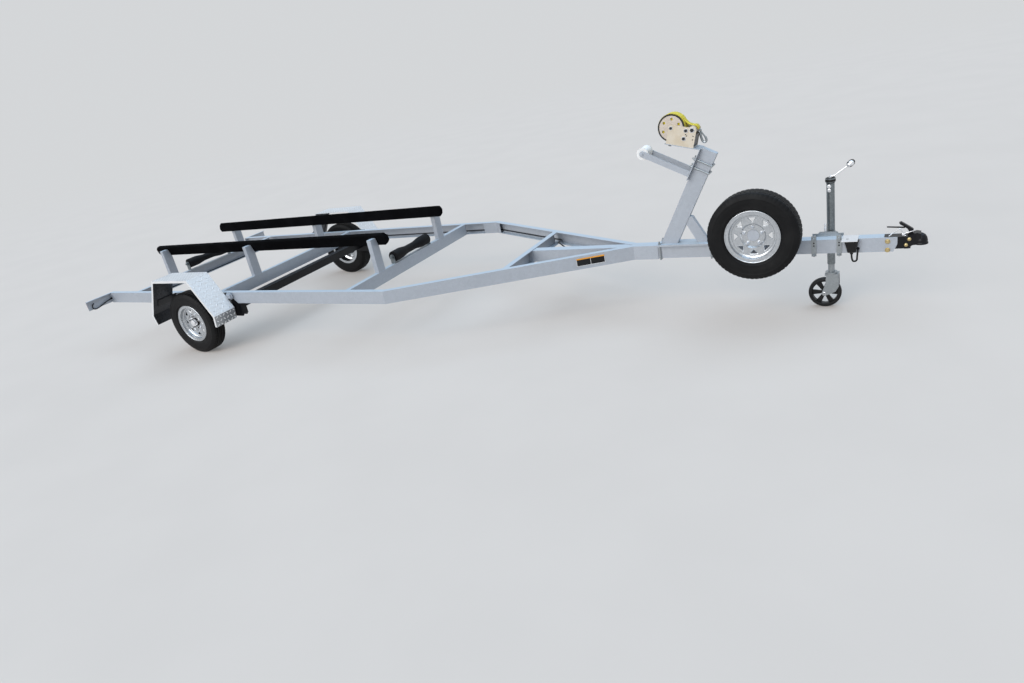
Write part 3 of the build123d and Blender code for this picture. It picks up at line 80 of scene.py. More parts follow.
Input = Union["Signal", bpy.types.NodeSocket, float, Sequence[float]]


def operator(operation: str, swapped: bool = False) -> Callable[["Signal", Input], "Signal"]:
    """Makes a method for one arithmetic sign.

    Args:
        operation: The Math node's operation.
        swapped: Whether the signal is the second of the two values.

    Returns:
        The method.
    """
    def method(self: "Signal", other: Input) -> "Signal":
        """Returns: The result of the operation."""
        return self.math(operation, *((other, self) if swapped else (self, other)))

    return method


class Signal:
    """A socket that takes part in arithmetic."""

    __add__, __radd__ = operator("ADD"), operator("ADD", True)
    __sub__, __rsub__ = operator("SUBTRACT"), operator("SUBTRACT", True)
    __mul__, __rmul__ = operator("MULTIPLY"), operator("MULTIPLY", True)
    __truediv__, __mod__ = operator("DIVIDE"), operator("FLOORED_MODULO")
    least = operator("MINIMUM")

    def __init__(self, graph: "Graph", socket: bpy.types.NodeSocket) -> None:
        """Keeps the graph and the socket."""
        self.graph = graph
        self.socket = socket

    def math(self, operation: str, *values: Input) -> "Signal":
        """Returns: The result of one Math node."""
        node = self.graph.add("ShaderNodeMath", dict(enumerate(values)), operation=operation)
        return Signal(self.graph, node.outputs[0])

    def __abs__(self) -> "Signal":
        """Returns: The size without its sign."""
        return self.math("ABSOLUTE", self)

    def floor(self) -> "Signal":
        """Returns: The whole number at or below this value."""
        return self.math("FLOOR", self)

    def sine(self) -> "Signal":
        """Returns: The sine of this value in radians."""
        return self.math("SINE", self)

    def ramp(self, low: float, high: float) -> "Signal":
        """Smooth step from 0 at one value to 1 at another.

        Args:
            low: Value where the step is 0.
            high: Value where it is 1.

        Returns:
            The step.
        """
        node = self.graph.add("ShaderNodeMapRange", {"Value": self, "From Min": low, "From Max": high},
                              interpolation_type="SMOOTHSTEP", clamp=True)
        return Signal(self.graph, node.outputs["Result"])


class Graph:
    """A node tree, with one way to add a node."""

    def __init__(self, tree: bpy.types.NodeTree) -> None:
        """Empties the tree and keeps it."""
        self.tree = tree
        tree.nodes.clear()

    def add(self, kind: str, sockets: Optional[dict] = None, **settings: object) -> bpy.types.Node:
        """Adds a node.

        Args:
            kind: The node's type.
            sockets: Its inputs by name or number: a signal, a socket or a constant.
            settings: Its attributes.

        Returns:
            The node.
        """
        node = self.tree.nodes.new(kind)
        for name, value in settings.items():
            setattr(node, name, value)
        for key, value in (sockets or {}).items():
            if isinstance(value, Signal):
                value = value.socket
            if isinstance(value, bpy.types.NodeSocket):
                self.tree.links.new(value, node.inputs[key])
            else:
                node.inputs[key].default_value = value
        return node

    def mix(self, factor: Input, first: Input, second: Input) -> Signal:
        """Returns: The colour between two colours."""
        node = self.add("ShaderNodeMix", {0: factor, 6: first, 7: second}, data_type="RGBA")
        return Signal(self, node.outputs[2])

    def split(self, vector: Input) -> tuple[Signal, Signal, Signal]:
        """Returns: The three numbers of a vector."""
        node = self.add("ShaderNodeSeparateXYZ", {0: vector})
        return tuple(Signal(self, node.outputs[number]) for number in range(3))


class Canvas(Graph):
    """A material's node tree, with patterns laid out over the piece."""

    def __init__(self, material: bpy.types.Material) -> None:
        """Empties the material's tree, and keeps the piece's own coordinates."""
        material.use_nodes = True
        super().__init__(material.node_tree)
        self.place = self.add("ShaderNodeTexCoord").outputs["Object"]

    def spot(self) -> tuple[Signal, Signal, Signal]:
        """Returns: The three coordinates of each point."""
        return self.split(self.place)

    def noise(self, scale: float, detail: float = 3.0) -> Signal:
        """Returns: Noise from 0 to 1 over the piece, at so many cells a metre."""
        node = self.add("ShaderNodeTexNoise", {"Vector": self.place, "Scale": scale, "Detail": detail})
        return Signal(self, node.outputs["Fac"])

    def cells(self, scale: float) -> Signal:
        """Divides the piece into irregular cells.

        Args:
            scale: Number of cells a metre.

        Returns:
            One value from 0 to 1 for each cell.
        """
        node = self.add("ShaderNodeTexVoronoi", {"Vector": self.place, "Scale": scale})
        parts = self.add("ShaderNodeSeparateColor", {0: node.outputs["Color"]})
        return Signal(self, parts.outputs[0])

    def normal(self, kind: str = "True Normal") -> tuple[Signal, Signal, Signal]:
        """Returns: The three numbers of the face's direction."""
        return self.split(self.add("ShaderNodeNewGeometry").outputs[kind])


def opaque(colour: Colour) -> tuple[float, float, float, float]:
    """Returns: A colour with full alpha, as sockets take it."""
    return (*colour, 1.0)


@dataclass(frozen=True)
class Finish:
    """A surface with patches, grain and a fine relief."""

    colour: Colour
    patch: Colour
    patch_scale: float = 5.0
    patch_amount: float = 0.5
    grain_scale: float = 260.0
    grain_amount: float = 0.10
    rough: tuple[float, float] = (0.4, 0.6)
    metallic: float = 0.0
    relief_scale: float = 300.0
    relief: float = 0.0002
    coat: float = 0.0
    sheen: float = 0.0
    specular: float = 0.5
    dust: float = 0.0

    def pattern(self, graph: Canvas) -> Signal:
        """Returns: The height of the relief from 0 to 1."""
        return graph.noise(self.relief_scale, 2.0)

    def tone(self, graph: Canvas, height: Signal) -> Signal:
        """Returns: How much of the patch colour shows at each place."""
        return graph.noise(self.patch_scale, 5.0).ramp(0.42, 0.68) * self.patch_amount

    def shaded(self, graph: Canvas, colour: Signal) -> Signal:
        """Returns: The colour after what this finish alone does to it."""
        return colour

    def build(self, name: str) -> bpy.types.Material:
        """Makes the material.

        Args:
            name: Its name.

        Returns:
            The material.
        """
        material = bpy.data.materials.new(name)
        graph = Canvas(material)
        height = self.pattern(graph)
        colour = graph.mix(self.tone(graph, height), opaque(self.colour), opaque(self.patch))
        grain = graph.noise(self.grain_scale, 2.0)
        shade = tuple(channel * (1.0 - 4.0 * self.grain_amount) for channel in self.colour)
        colour = graph.mix(grain.ramp(0.5, 0.8) * min(1.0, self.grain_amount * 4.0), colour, opaque(shade))
        if self.dust > 0.0:
            up = graph.normal("Normal")[2]
            settled = up.ramp(0.2, 1.0) * graph.noise(9.0, 4.0).ramp(0.35, 0.75) * self.dust
            colour = graph.mix(settled, colour, opaque(DUST))
        colour = self.shaded(graph, colour)
        low, high = self.rough
        rough = low + (high - low) * graph.noise(self.patch_scale * 3.0, 4.0)
        bump = graph.add("ShaderNodeBump", {"Strength": 1.0, "Distance": self.relief, "Height": height})
        shader = graph.add("ShaderNodeBsdfPrincipled", {
            "Base Color": colour, "Roughness": rough, "Metallic": self.metallic, "Coat Weight": self.coat,
            "Coat Roughness": 0.2, "Specular IOR Level": self.specular, "Sheen Weight": self.sheen,
            "Sheen Roughness": 0.5, "Normal": bump.outputs["Normal"]})
        graph.add("ShaderNodeOutputMaterial", {"Surface": shader.outputs["BSDF"]})
        return material


@dataclass(frozen=True)
class Galvanised(Finish):
    """Zinc with spangles of its own size, or paint over it."""

    spangle: float = 90.0
    # Share of painted sky light: faces that look up are made paler and bluer, as if lit by an open sky
    sky: float = 0.0
    painted_sky_tint: Colour = (0.49, 0.575, 0.645)

    def tone(self, graph: Canvas, height: Signal) -> Signal:
        """Returns: Spangles, each of one tone, with broad patches over them."""
        spread = graph.noise(self.patch_scale, 4.0).ramp(0.35, 0.75)
        return (graph.cells(self.spangle) * 0.6 + spread * 0.4) * self.patch_amount

    def shaded(self, graph: Canvas, colour: Signal) -> Signal:
        """Paints sky light on faces that look up, paler and bluer, where the finish asks for it.

        Args:
            graph: The node tree.
            colour: The colour so far.

        Returns:
            The colour.
        """
        if self.sky <= 0.0:
            return colour
        up = graph.normal()[2]
        return graph.mix(up.ramp(0.5, 1.0) * self.sky, colour, opaque(self.painted_sky_tint))


@dataclass(frozen=True)
class TreadPlate(Finish):
    """Sheet with raised bars that lie to one side and the other by turns."""

    pitch: float = 0.036
    bar_long: float = 0.44
    bar_wide: float = 0.15
    # Colour of the faces towards the wheel: painted shade, with road film
    film: Colour = (0.045, 0.047, 0.052)

    def pattern(self, graph: Canvas) -> Signal:
        """Lays the bars out across the sheet and along its bent face.

        Args:
            graph: The node tree.

        Returns:
            The bars' height from 0 to 1.
        """
        x, y, z = graph.spot()
        nx, _, nz = graph.normal()
        across = y / self.pitch
        along = (x * nz - z * nx) / self.pitch
        turned = (across.floor() + along.floor()) % 2.0
        u = across % 1.0 - 0.5
        v = (along % 1.0 - 0.5) * (1.0 - 2.0 * turned)
        lengthwise = (u + v) * (DIAGONAL / self.bar_long)
        crosswise = (u - v) * (DIAGONAL / self.bar_wide)
        return 1.0 - (lengthwise * lengthwise + crosswise * crosswise).ramp(0.35, 1.0)

    def tone(self, graph: Canvas, height: Signal) -> Signal:
        """Puts dirt between the bars, thick on the upright ends and thin on the slopes.

        Args:
            graph: The node tree.
            height: The relief's height.

        Returns:
            The share of dirt.
        """
        broad = graph.noise(self.patch_scale, 4.0).ramp(0.3, 0.7)
        upright, _, level = (abs(part).ramp(0.90, 0.96) for part in graph.normal())
        thick = 0.16 + 0.76 * upright + 0.30 * level
        return (1.0 - height) * (0.7 + 0.3 * broad) * thick * self.patch_amount

    def shaded(self, graph: Canvas, colour: Signal) -> Signal:
        """Makes the faces towards the wheel dark: painted shade, with road film.

        Args:
            graph: The node tree.
            colour: The colour so far.

        Returns:
            The colour.
        """
        x, _, z = graph.spot()
        nx, _, nz = graph.normal()
        inward = ((x - AXLE_X) * nx + (z - WHEEL_Z) * nz).ramp(-0.02, -0.10)
        return graph.mix(inward, colour, opaque(self.film))


@dataclass(frozen=True)
class Webbing(Finish):
    """Woven tape: ribs across its width and twill along it."""

    thread: float = 0.0016

    def pattern(self, graph: Canvas) -> Signal:
        """Lays ribs across the tape and twill along it.

        Args:
            graph: The node tree.

        Returns:
            The threads' height.
        """
        x, y, z = graph.spot()
        run = x + z
        warp = abs((y * (math.pi / self.thread)).sine())
        weft = abs(((run + y * 0.5) * (math.pi / self.thread)).sine())
        return warp * 0.6 + weft * 0.4


@dataclass(frozen=True)
class Pile(Finish):
    """Short carpet pile in loops."""

    loop_scale: float = 420.0

    def pattern(self, graph: Canvas) -> Signal:
        """Returns: The loops' height over a slow swell."""
        return graph.cells(self.loop_scale) * 0.6 + graph.noise(60.0, 3.0) * 0.4


@dataclass(frozen=True)
class Ribbed(Finish):
    """A lens with fine upright ribs inside."""

    rib: float = 0.004

    def pattern(self, graph: Canvas) -> Signal:
        """Returns: The ribs' height."""
        y = graph.spot()[1]
        return abs((y * (math.pi / self.rib)).sine())


FINISHES: dict[str, Finish] = {
    # The frame paint's sky share paints sky light onto its faces that look up
    "frame_paint": Galvanised((0.43, 0.46, 0.505), (0.34, 0.365, 0.405), rough=(0.34, 0.52), metallic=0.15,
                              relief=0.00012, spangle=55.0, sky=0.7, dust=0.02),
    "bunk_carpet": Pile((0.0025, 0.0025, 0.003), (0.006, 0.006, 0.007), patch_amount=0.6,
                        rough=(0.88, 0.98), relief=0.0012, specular=0.03),
    "black_rubber": Finish((0.006, 0.006, 0.007), (0.014, 0.014, 0.014), rough=(0.5, 0.7), specular=0.12,
                           dust=0.01),
    "tyre_rubber": Finish((0.0065, 0.0065, 0.007), (0.015, 0.015, 0.015), patch_scale=9.0,
                          rough=(0.42, 0.62), relief=0.0003, relief_scale=220.0, specular=0.14, dust=0.01),
    "wheel_silver": Galvanised((0.62, 0.64, 0.66), (0.34, 0.36, 0.39), patch_amount=0.6,
                               rough=(0.16, 0.28), metallic=0.9, relief=0.0001, spangle=130.0),
    "black_paint": Finish((0.0045, 0.0045, 0.006), (0.011, 0.011, 0.012), rough=(0.28, 0.45), coat=0.12,
                          specular=0.2, dust=0.01),
    "tread_plate": TreadPlate((0.94, 0.94, 0.94), (0.10, 0.11, 0.125), patch_amount=1.0,
                              rough=(0.24, 0.4), metallic=0.35, relief=0.0026),
    "zinc_plate": Galvanised((0.26, 0.285, 0.295), (0.07, 0.085, 0.095), patch_amount=0.6,
                             rough=(0.25, 0.42), metallic=0.8, relief=0.0001, spangle=160.0),
    "winch_cream": Finish((0.68, 0.61, 0.50), (0.58, 0.48, 0.33), patch_scale=14.0, rough=(0.25, 0.45),
                          metallic=0.25, relief=0.0001),
    "yellow_webbing": Webbing((0.78, 0.64, 0.045), (0.55, 0.42, 0.03), rough=(0.7, 0.9), relief=0.0006,
                              sheen=0.1),
    "white_roller": Finish((0.82, 0.82, 0.81), (0.66, 0.65, 0.63)),
    "black_plastic": Finish((0.005, 0.005, 0.0055), (0.013, 0.013, 0.013), rough=(0.38, 0.55),
                            specular=0.3),
    "lamp_lens": Ribbed((0.42, 0.012, 0.010), (0.25, 0.008, 0.006), rough=(0.1, 0.2), relief=0.0006,
                        coat=0.6),
    "amber_lens": Ribbed((0.85, 0.36, 0.03), (0.62, 0.22, 0.02), rough=(0.15, 0.3), relief=0.0004,
                         coat=0.5),
    "cable_black": Finish((0.005, 0.005, 0.0055), (0.013, 0.013, 0.013), rough=(0.45, 0.6), relief=0.0001,
                          specular=0.3),
}
GOLD = Galvanised((0.62, 0.48, 0.22), (0.40, 0.32, 0.20), rough=(0.25, 0.45), metallic=0.8, spangle=300.0)
BRIGHT = Galvanised((0.90, 0.90, 0.91), (0.68, 0.68, 0.70), rough=(0.16, 0.28), metallic=0.6, spangle=300.0)
# Dark steel for nuts and gear teeth; on the fender stays and the dark hole discs it is painted shade
DARK_STEEL_AND_SHADE = Finish((0.022, 0.023, 0.026), (0.05, 0.047, 0.045), rough=(0.25, 0.4), metallic=0.4)
GEAR_CREAM = Finish((0.62, 0.55, 0.48), (0.52, 0.44, 0.37), patch_scale=14.0, rough=(0.25, 0.45),
                    metallic=0.3)
PALE_ZINC = Galvanised((0.38, 0.405, 0.42), (0.22, 0.245, 0.26), patch_amount=0.6, rough=(0.25, 0.42),
                       metallic=0.7, relief=0.0001, spangle=160.0)
# The fender stays take dark steel as painted shade, for they sit in shade inside the fenders
NODE_FINISHES: dict[str, Finish] = {
    "jack_crank": BRIGHT, "plug_holder": BRIGHT, "winch_gear": GEAR_CREAM, "fender_stays": DARK_STEEL_AND_SHADE,
    "ubolts": PALE_ZINC, "jack_clamp": PALE_ZINC, "jack_inner_tube": PALE_ZINC, "jack_fork": PALE_ZINC}
_made: dict[Finish, bpy.types.Material] = {}


def material_of(finish: Finish, name: str) -> bpy.types.Material:
    """Gives the material of a finish, made once.

    Args:
        finish: The finish.
        name: A name for it when it is new.

    Returns:
        The material.
    """
    if finish not in _made:
        _made[finish] = finish.build(name)
    return _made[finish]


def install(piece: Object, body: str, slot: str, stands_for: Sequence[str] = (),
            finish: Optional[Finish] = None) -> None:
    """Gives a piece the material of its slot or of its own finish, and its body.

    Args:
        piece: The object.
        body: The CAD body that it rides on.
        slot: The record's material slot.
        stands_for: CAD nodes that it replaces.
        finish: A finish of its own, where it differs from the slot's.
    """
    chosen = finish or FINISHES[slot]
    piece.data.materials.clear()
    piece.data.materials.append(material_of(chosen, slot if finish is None else piece.name + "_finish"))
    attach(piece, body)
    if stands_for:
        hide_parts(*stands_for)
    LOG.info("piece %s on %s, slot %s", piece.name, body, slot)


# Meshes


def in_scene(name: str, data: bpy.types.ID) -> Object:
    """Puts a new object in the scene, at the origin.

    Args:
        name: Its name.
        data: Its mesh, curve, camera or light.

    Returns:
        The object.
    """
    piece = bpy.data.objects.new(name, data)
    bpy.context.scene.collection.objects.link(piece)
    return piece


def meshed(name: str, work: bmesh.types.BMesh, sharp: float = SHARP) -> Object:
    """Ends an edit of a mesh.

    Args:
        name: The object's name.
        work: The edited mesh, which is freed.
        sharp: Angle in degrees over which an edge stays sharp.

    Returns:
        The object, with smooth faces.
    """
    mesh = bpy.data.meshes.new(name)
    work.to_mesh(mesh)
    work.free()
    mesh.shade_smooth()
    mesh.set_sharp_from_angle(angle=math.radians(sharp))
    return in_scene(name, mesh)


def new_object(name: str, verts: Sequence[Point], faces: Sequence[Sequence[int]],
               sharp: float = SHARP) -> Object:
    """Makes a closed mesh object at the origin.

    Args:
        name: Its name.
        verts: Corner points in metres.
        faces: Corner numbers of each face.
        sharp: Angle in degrees over which an edge stays sharp.

    Returns:
        The object.
    """
    mesh = bpy.data.meshes.new(name + "_raw")
    mesh.from_pydata([tuple(v) for v in verts], [], [tuple(f) for f in faces])
    work = bmesh.new()
    work.from_mesh(mesh)
    bpy.data.meshes.remove(mesh)
    bmesh.ops.remove_doubles(work, verts=work.verts, dist=WELD)
    bmesh.ops.dissolve_degenerate(work, edges=work.edges, dist=WELD)
    bmesh.ops.recalc_face_normals(work, faces=work.faces)
    return meshed(name, work, sharp)


def joined(name: str, pieces: Sequence[Object]) -> Object:
    """Joins several objects' meshes into one object.

    Args:
        name: Its name.
        pieces: Objects, which are removed.

    Returns:
        The joined object.
    """
    work = bmesh.new()
    for piece in pieces:
        work.from_mesh(piece.data)
        bpy.data.objects.remove(piece)
    return meshed(name, work)


def skin(rings: int, size: int, closed: bool) -> list[tuple[int, ...]]:
    """Makes the faces between rings of points.

    Args:
        rings: Number of rings.
        size: Number of points in each.
        closed: Whether the last ring joins the first; else both ends get a cap.

    Returns:
        The corner numbers of each face.
    """
    faces = []
    for ring in range(rings if closed else rings - 1):
        here, ahead = ring * size, (ring + 1) % rings * size
        for k in range(size):
            after = (k + 1) % size
            faces.append((here + k, here + after, ahead + after, ahead + k))
    if not closed:
        faces += [tuple(range(size)), tuple(range((rings - 1) * size, rings * size))]
    return faces


def prism(name: str, low: Sequence[Point], high: Sequence[Point], sharp: float = SHARP) -> Object:
    """Returns: The solid between two like outlines."""
    return new_object(name, [*low, *high], skin(2, len(low), False), sharp)


def mirrored(half: Profile) -> list[tuple[float, float]]:
    """Returns: A profile with its mirror image, for a half that starts in the middle."""
    return [(radius, -off) for radius, off in half[:0:-1]] + list(half)


def round_turns(count: int) -> list[float]:
    """Returns: So many even turns round a circle, in radians."""
    return [ROUND * k / count for k in range(count)]


def placed(centre: Point, axis: Point) -> Matrix:
    """Returns: The matrix that takes +Z at the origin to an axis at a centre."""
    turn = Vector((0, 0, 1)).rotation_difference(Vector(axis).normalized())
    return Matrix.Translation(Vector(centre)) @ turn.to_matrix().to_4x4()


def lathe(name: str, profile: Profile, centre: Point, axis: Point, steps: int = 96, sharp: float = SHARP,
          radius_at: Optional[Callable[[int, int, float], float]] = None) -> Object:
    """Turns a closed profile about an axis.

    Args:
        name: The object's name.
        profile: (radius, distance along the axis) points of a closed loop.
        centre: Point on the axis where the distance is 0.
        axis: Direction of the axis.
        steps: Number of steps round.
        sharp: Angle over which an edge stays sharp.
        radius_at: Changes a radius, from the step, the profile point and the radius.

    Returns:
        The object.
    """
    matrix = placed(centre, axis)
    verts = []
    for step in range(steps):
        turn = ROUND * step / steps
        for number, (radius, distance) in enumerate(profile):
            size = radius_at(step, number, radius) if radius_at else radius
            verts.append(matrix @ Vector((size * math.cos(turn), size * math.sin(turn), distance)))
    return new_object(name, verts, skin(steps, len(profile), True), sharp)


def taper(name: str, start: Point, end: Point, radius: float, end_radius: Optional[float] = None,
          steps: int = 24) -> Object:
    """A round rod with rounded rims between two points.

    Args:
        name: The object's name.
        start: First end.
        end: Second end.
        radius: Radius at the first end.
        end_radius: Radius at the second end, the same where it is not given.
        steps: Number of steps round.

    Returns:
        The object.
    """
    far = radius if end_radius is None else end_radius
    reach = Vector(end) - Vector(start)
    edge = min(radius, far, reach.length / 2) * 0.25
    profile = [(0, 0), (radius - edge, 0), (radius, edge), (far, reach.length - edge),
               (far - edge, reach.length), (0, reach.length)]
    return lathe(name, profile, start, tuple(reach), steps)


def hexagon(name: str, start: Point, end: Point, flats: float, washer: float = 0.0) -> Object:
    """A hexagonal nut or bolt head, chamfered at its outer end, with an optional washer.

    Args:
        name: The object's name.
        start: Middle of its seat.
        end: Middle of its outer face.
        flats: Size across the flats.
        washer: Radius of the washer under it, or 0.

    Returns:
        The object.
    """
    reach = Vector(end) - Vector(start)
    corner = flats / math.sqrt(3)
    tall = reach.length
    head = lathe(name, [(0, 0), (corner, 0), (corner, tall * 0.82), (corner * 0.84, tall), (0, tall)],
                 start, tuple(reach), 6, 20.0)
    if washer <= 0.0:
        return head
    disc = lathe(name + "_washer", [(0, 0), (washer, 0), (washer, tall * 0.14), (washer * 0.94, tall * 0.2),
                                    (0, tall * 0.2)], start, tuple(reach), 32)
    return joined(name, [head, disc])


def curved(name: str, points: Sequence[Point], radius: float, fineness: int,
           closed: bool = False) -> Object:
    """A round line as a curve object.

    Args:
        name: The object's name.
        points: Points that steer the line.
        radius: The line's radius.
        fineness: Rows of faces in a quarter of the round section, less one.
        closed: Whether the line comes back to its start.

    Returns:
        The curve object.
    """
    curve = bpy.data.curves.new(name, "CURVE")
    curve.dimensions = "3D"
    curve.bevel_depth = radius
    curve.bevel_resolution = fineness
    curve.resolution_u = 4 * fineness
    curve.use_fill_caps = True
    spline = curve.splines.new("NURBS")
    spline.points.add(len(points) - 1)
    for target, source in zip(spline.points, points):
        target.co = (*source, 1.0)
    spline.order_u = 3
    spline.use_endpoint_u = not closed
    spline.use_cyclic_u = closed
    return in_scene(name, curve)


def baked(name: str, source: Object) -> bpy.types.Mesh:
    """Works out an object's curve or modifier.

    Args:
        name: The mesh's name.
        source: The object, which is removed.

    Returns:
        The mesh, with smooth faces.
    """
    mesh = bpy.data.meshes.new_from_object(source.evaluated_get(bpy.context.evaluated_depsgraph_get()))
    mesh.name = name
    bpy.data.objects.remove(source)
    mesh.shade_smooth()
    return mesh


def tube(name: str, points: Sequence[Point], radius: float, closed: bool = False) -> Object:
    """Returns: A round wire along a smooth line, as a mesh."""
    return in_scene(name, baked(name, curved(name + "_line", points, radius, 2, closed)))


def block(name: str, low: Point, high: Point, edge: float, matrix: Optional[Matrix] = None) -> Object:
    """A block with bevelled edges.

    Args:
        name: The object's name.
        low: Its lowest corner.
        high: Its highest corner.
        edge: Width of the bevel.
        matrix: A matrix to place it with.

    Returns:
        The object.
    """
    work = bmesh.new()
    bmesh.ops.create_cube(work, size=1.0)
    for vert in work.verts:
        for axis in range(3):
            vert.co[axis] = low[axis] if vert.co[axis] < 0 else high[axis]
    bmesh.ops.bevel(work, geom=work.edges[:] + work.verts[:], offset=edge, segments=2, affect="EDGES")
    if matrix is not None:
        bmesh.ops.transform(work, matrix=matrix, verts=work.verts)
    bmesh.ops.recalc_face_normals(work, faces=work.faces)
    return meshed(name, work, 40.0)


def ribbon(name: str, line: Profile, half: float, thick: float) -> Object:
    """A flat tape along a line in the XZ plane, with rounded edges.

    Args:
        name: The object's name.
        line: (x, z) points, which the tape rounds smoothly.
        half: Half of its width.
        thick: Thickness.

    Returns:
        The object.
    """
    fine = []
    padded = [line[0], *line, line[-1]]
    for a, b, c, d in zip(padded, padded[1:], padded[2:], padded[3:]):
        for step in range(8):
            t = step / 8
            # Weights of the four points of a smooth curve
            weights = (2 * t ** 2 - t - t ** 3, 2 - 5 * t ** 2 + 3 * t ** 3, t + 4 * t ** 2 - 3 * t ** 3,
                       t ** 3 - t ** 2)
            fine.append(tuple(sum(w * point[k] for w, point in zip(weights, (a, b, c, d))) / 2
                              for k in range(2)))
    fine.append(tuple(line[-1]))
    inner = half - thick * 0.3
    section = [(-inner, -0.5), (-half, 0.0), (-inner, 0.5), (inner, 0.5), (half, 0.0), (inner, -0.5)]
    verts = []
    for number, (x, z) in enumerate(fine):
        before = fine[max(0, number - 1)]
        after = fine[min(len(fine) - 1, number + 1)]
        run = Vector((after[0] - before[0], after[1] - before[1])).normalized()
        for y, lift in section:
            verts.append((x - run.y * lift * thick, y, z + run.x * lift * thick))
    return new_object(name, verts, skin(len(fine), len(section), False), 60.0)


# Repeats


class Repeat:
    """Repeats a piece with a node group that is worked out once."""

    kinds = {"Count": "Int", "Radius": "Float", "Step": "Vector", "Unit": "Object", "Finish": "Material"}
    inputs: tuple[str, ...]

    def places(self, graph: Graph, given: bpy.types.NodeOutputs) -> tuple[bpy.types.NodeSocket, dict]:
        """Returns: The points to repeat on, and what else the instances take."""
        raise NotImplementedError

    def build(self, name: str, unit: Object, matrix: Matrix) -> Object:
        """Makes the repeats as a plain mesh.

        Args:
            name: The object's name.
            unit: The piece to repeat, modelled at the origin, which is removed.
            matrix: Where the result goes.

        Returns:
            The object.
        """
        values = {label: getattr(self, label.lower()) for label in self.inputs}
        values.update({"Unit": unit, "Finish": bpy.data.materials.new(name + "_plain")})
        tree = bpy.data.node_groups.new(name + "_repeat", "GeometryNodeTree")
        for label in values:
            tree.interface.new_socket(label, in_out="INPUT", socket_type="NodeSocket" + self.kinds[label])
        tree.interface.new_socket("Geometry", in_out="OUTPUT", socket_type="NodeSocketGeometry")
        graph = Graph(tree)
        given = graph.add("NodeGroupInput").outputs
        points, more = self.places(graph, given)
        source = graph.add("GeometryNodeObjectInfo", {"Object": given["Unit"]})
        spread = graph.add("GeometryNodeInstanceOnPoints", {
            "Points": points, "Instance": source.outputs["Geometry"], **more})
        solid = graph.add("GeometryNodeRealizeInstances", {0: spread.outputs[0]})
        finished = graph.add("GeometryNodeSetMaterial", {
            "Geometry": solid.outputs[0], "Material": given["Finish"]})
        graph.add("NodeGroupOutput", {0: finished.outputs[0]})
        carrier = in_scene(name + "_carrier", bpy.data.meshes.new(name + "_carrier"))
        modifier = carrier.modifiers.new("repeat", "NODES")
        modifier.node_group = tree
        for item in tree.interface.items_tree:
            if item.in_out == "INPUT":
                modifier[item.identifier] = values[item.name]
        mesh = baked(name, carrier)
        bpy.data.objects.remove(unit)
        mesh.transform(matrix)
        mesh.set_sharp_from_angle(angle=math.radians(SHARP))
        return in_scene(name, mesh)


@dataclass(frozen=True)
class Ring(Repeat):
    """Repeats round the Z axis, each piece turned to point outward along its own +X."""

    count: int
    radius: float
    inputs = ("Count", "Radius")

    def places(self, graph: Graph, given: bpy.types.NodeOutputs) -> tuple[bpy.types.NodeSocket, dict]:
        """Spreads the points round the axis.

        Args:
            graph: The node tree.
            given: The group's inputs.

        Returns:
            The points, and the turn of each instance.
        """
        index = Signal(graph, graph.add("GeometryNodeInputIndex").outputs[0])
        facing = graph.add("ShaderNodeCombineXYZ", {"Z": index * ROUND / Signal(graph, given["Count"])})
        circle = graph.add("GeometryNodeMeshCircle", {"Vertices": given["Count"], "Radius": given["Radius"]})
        return circle.outputs[0], {"Rotation": facing.outputs[0]}


@dataclass(frozen=True)
class Row(Repeat):
    """Repeats along a straight line."""

    count: int
    step: Point
    inputs = ("Count", "Step")

    def places(self, graph: Graph, given: bpy.types.NodeOutputs) -> tuple[bpy.types.NodeSocket, dict]:
        """Returns: The points along the line."""
        line = graph.add("GeometryNodeMeshLine", {"Count": given["Count"], "Offset": given["Step"]})
        return line.outputs[0], {}


# Sub-assemblies


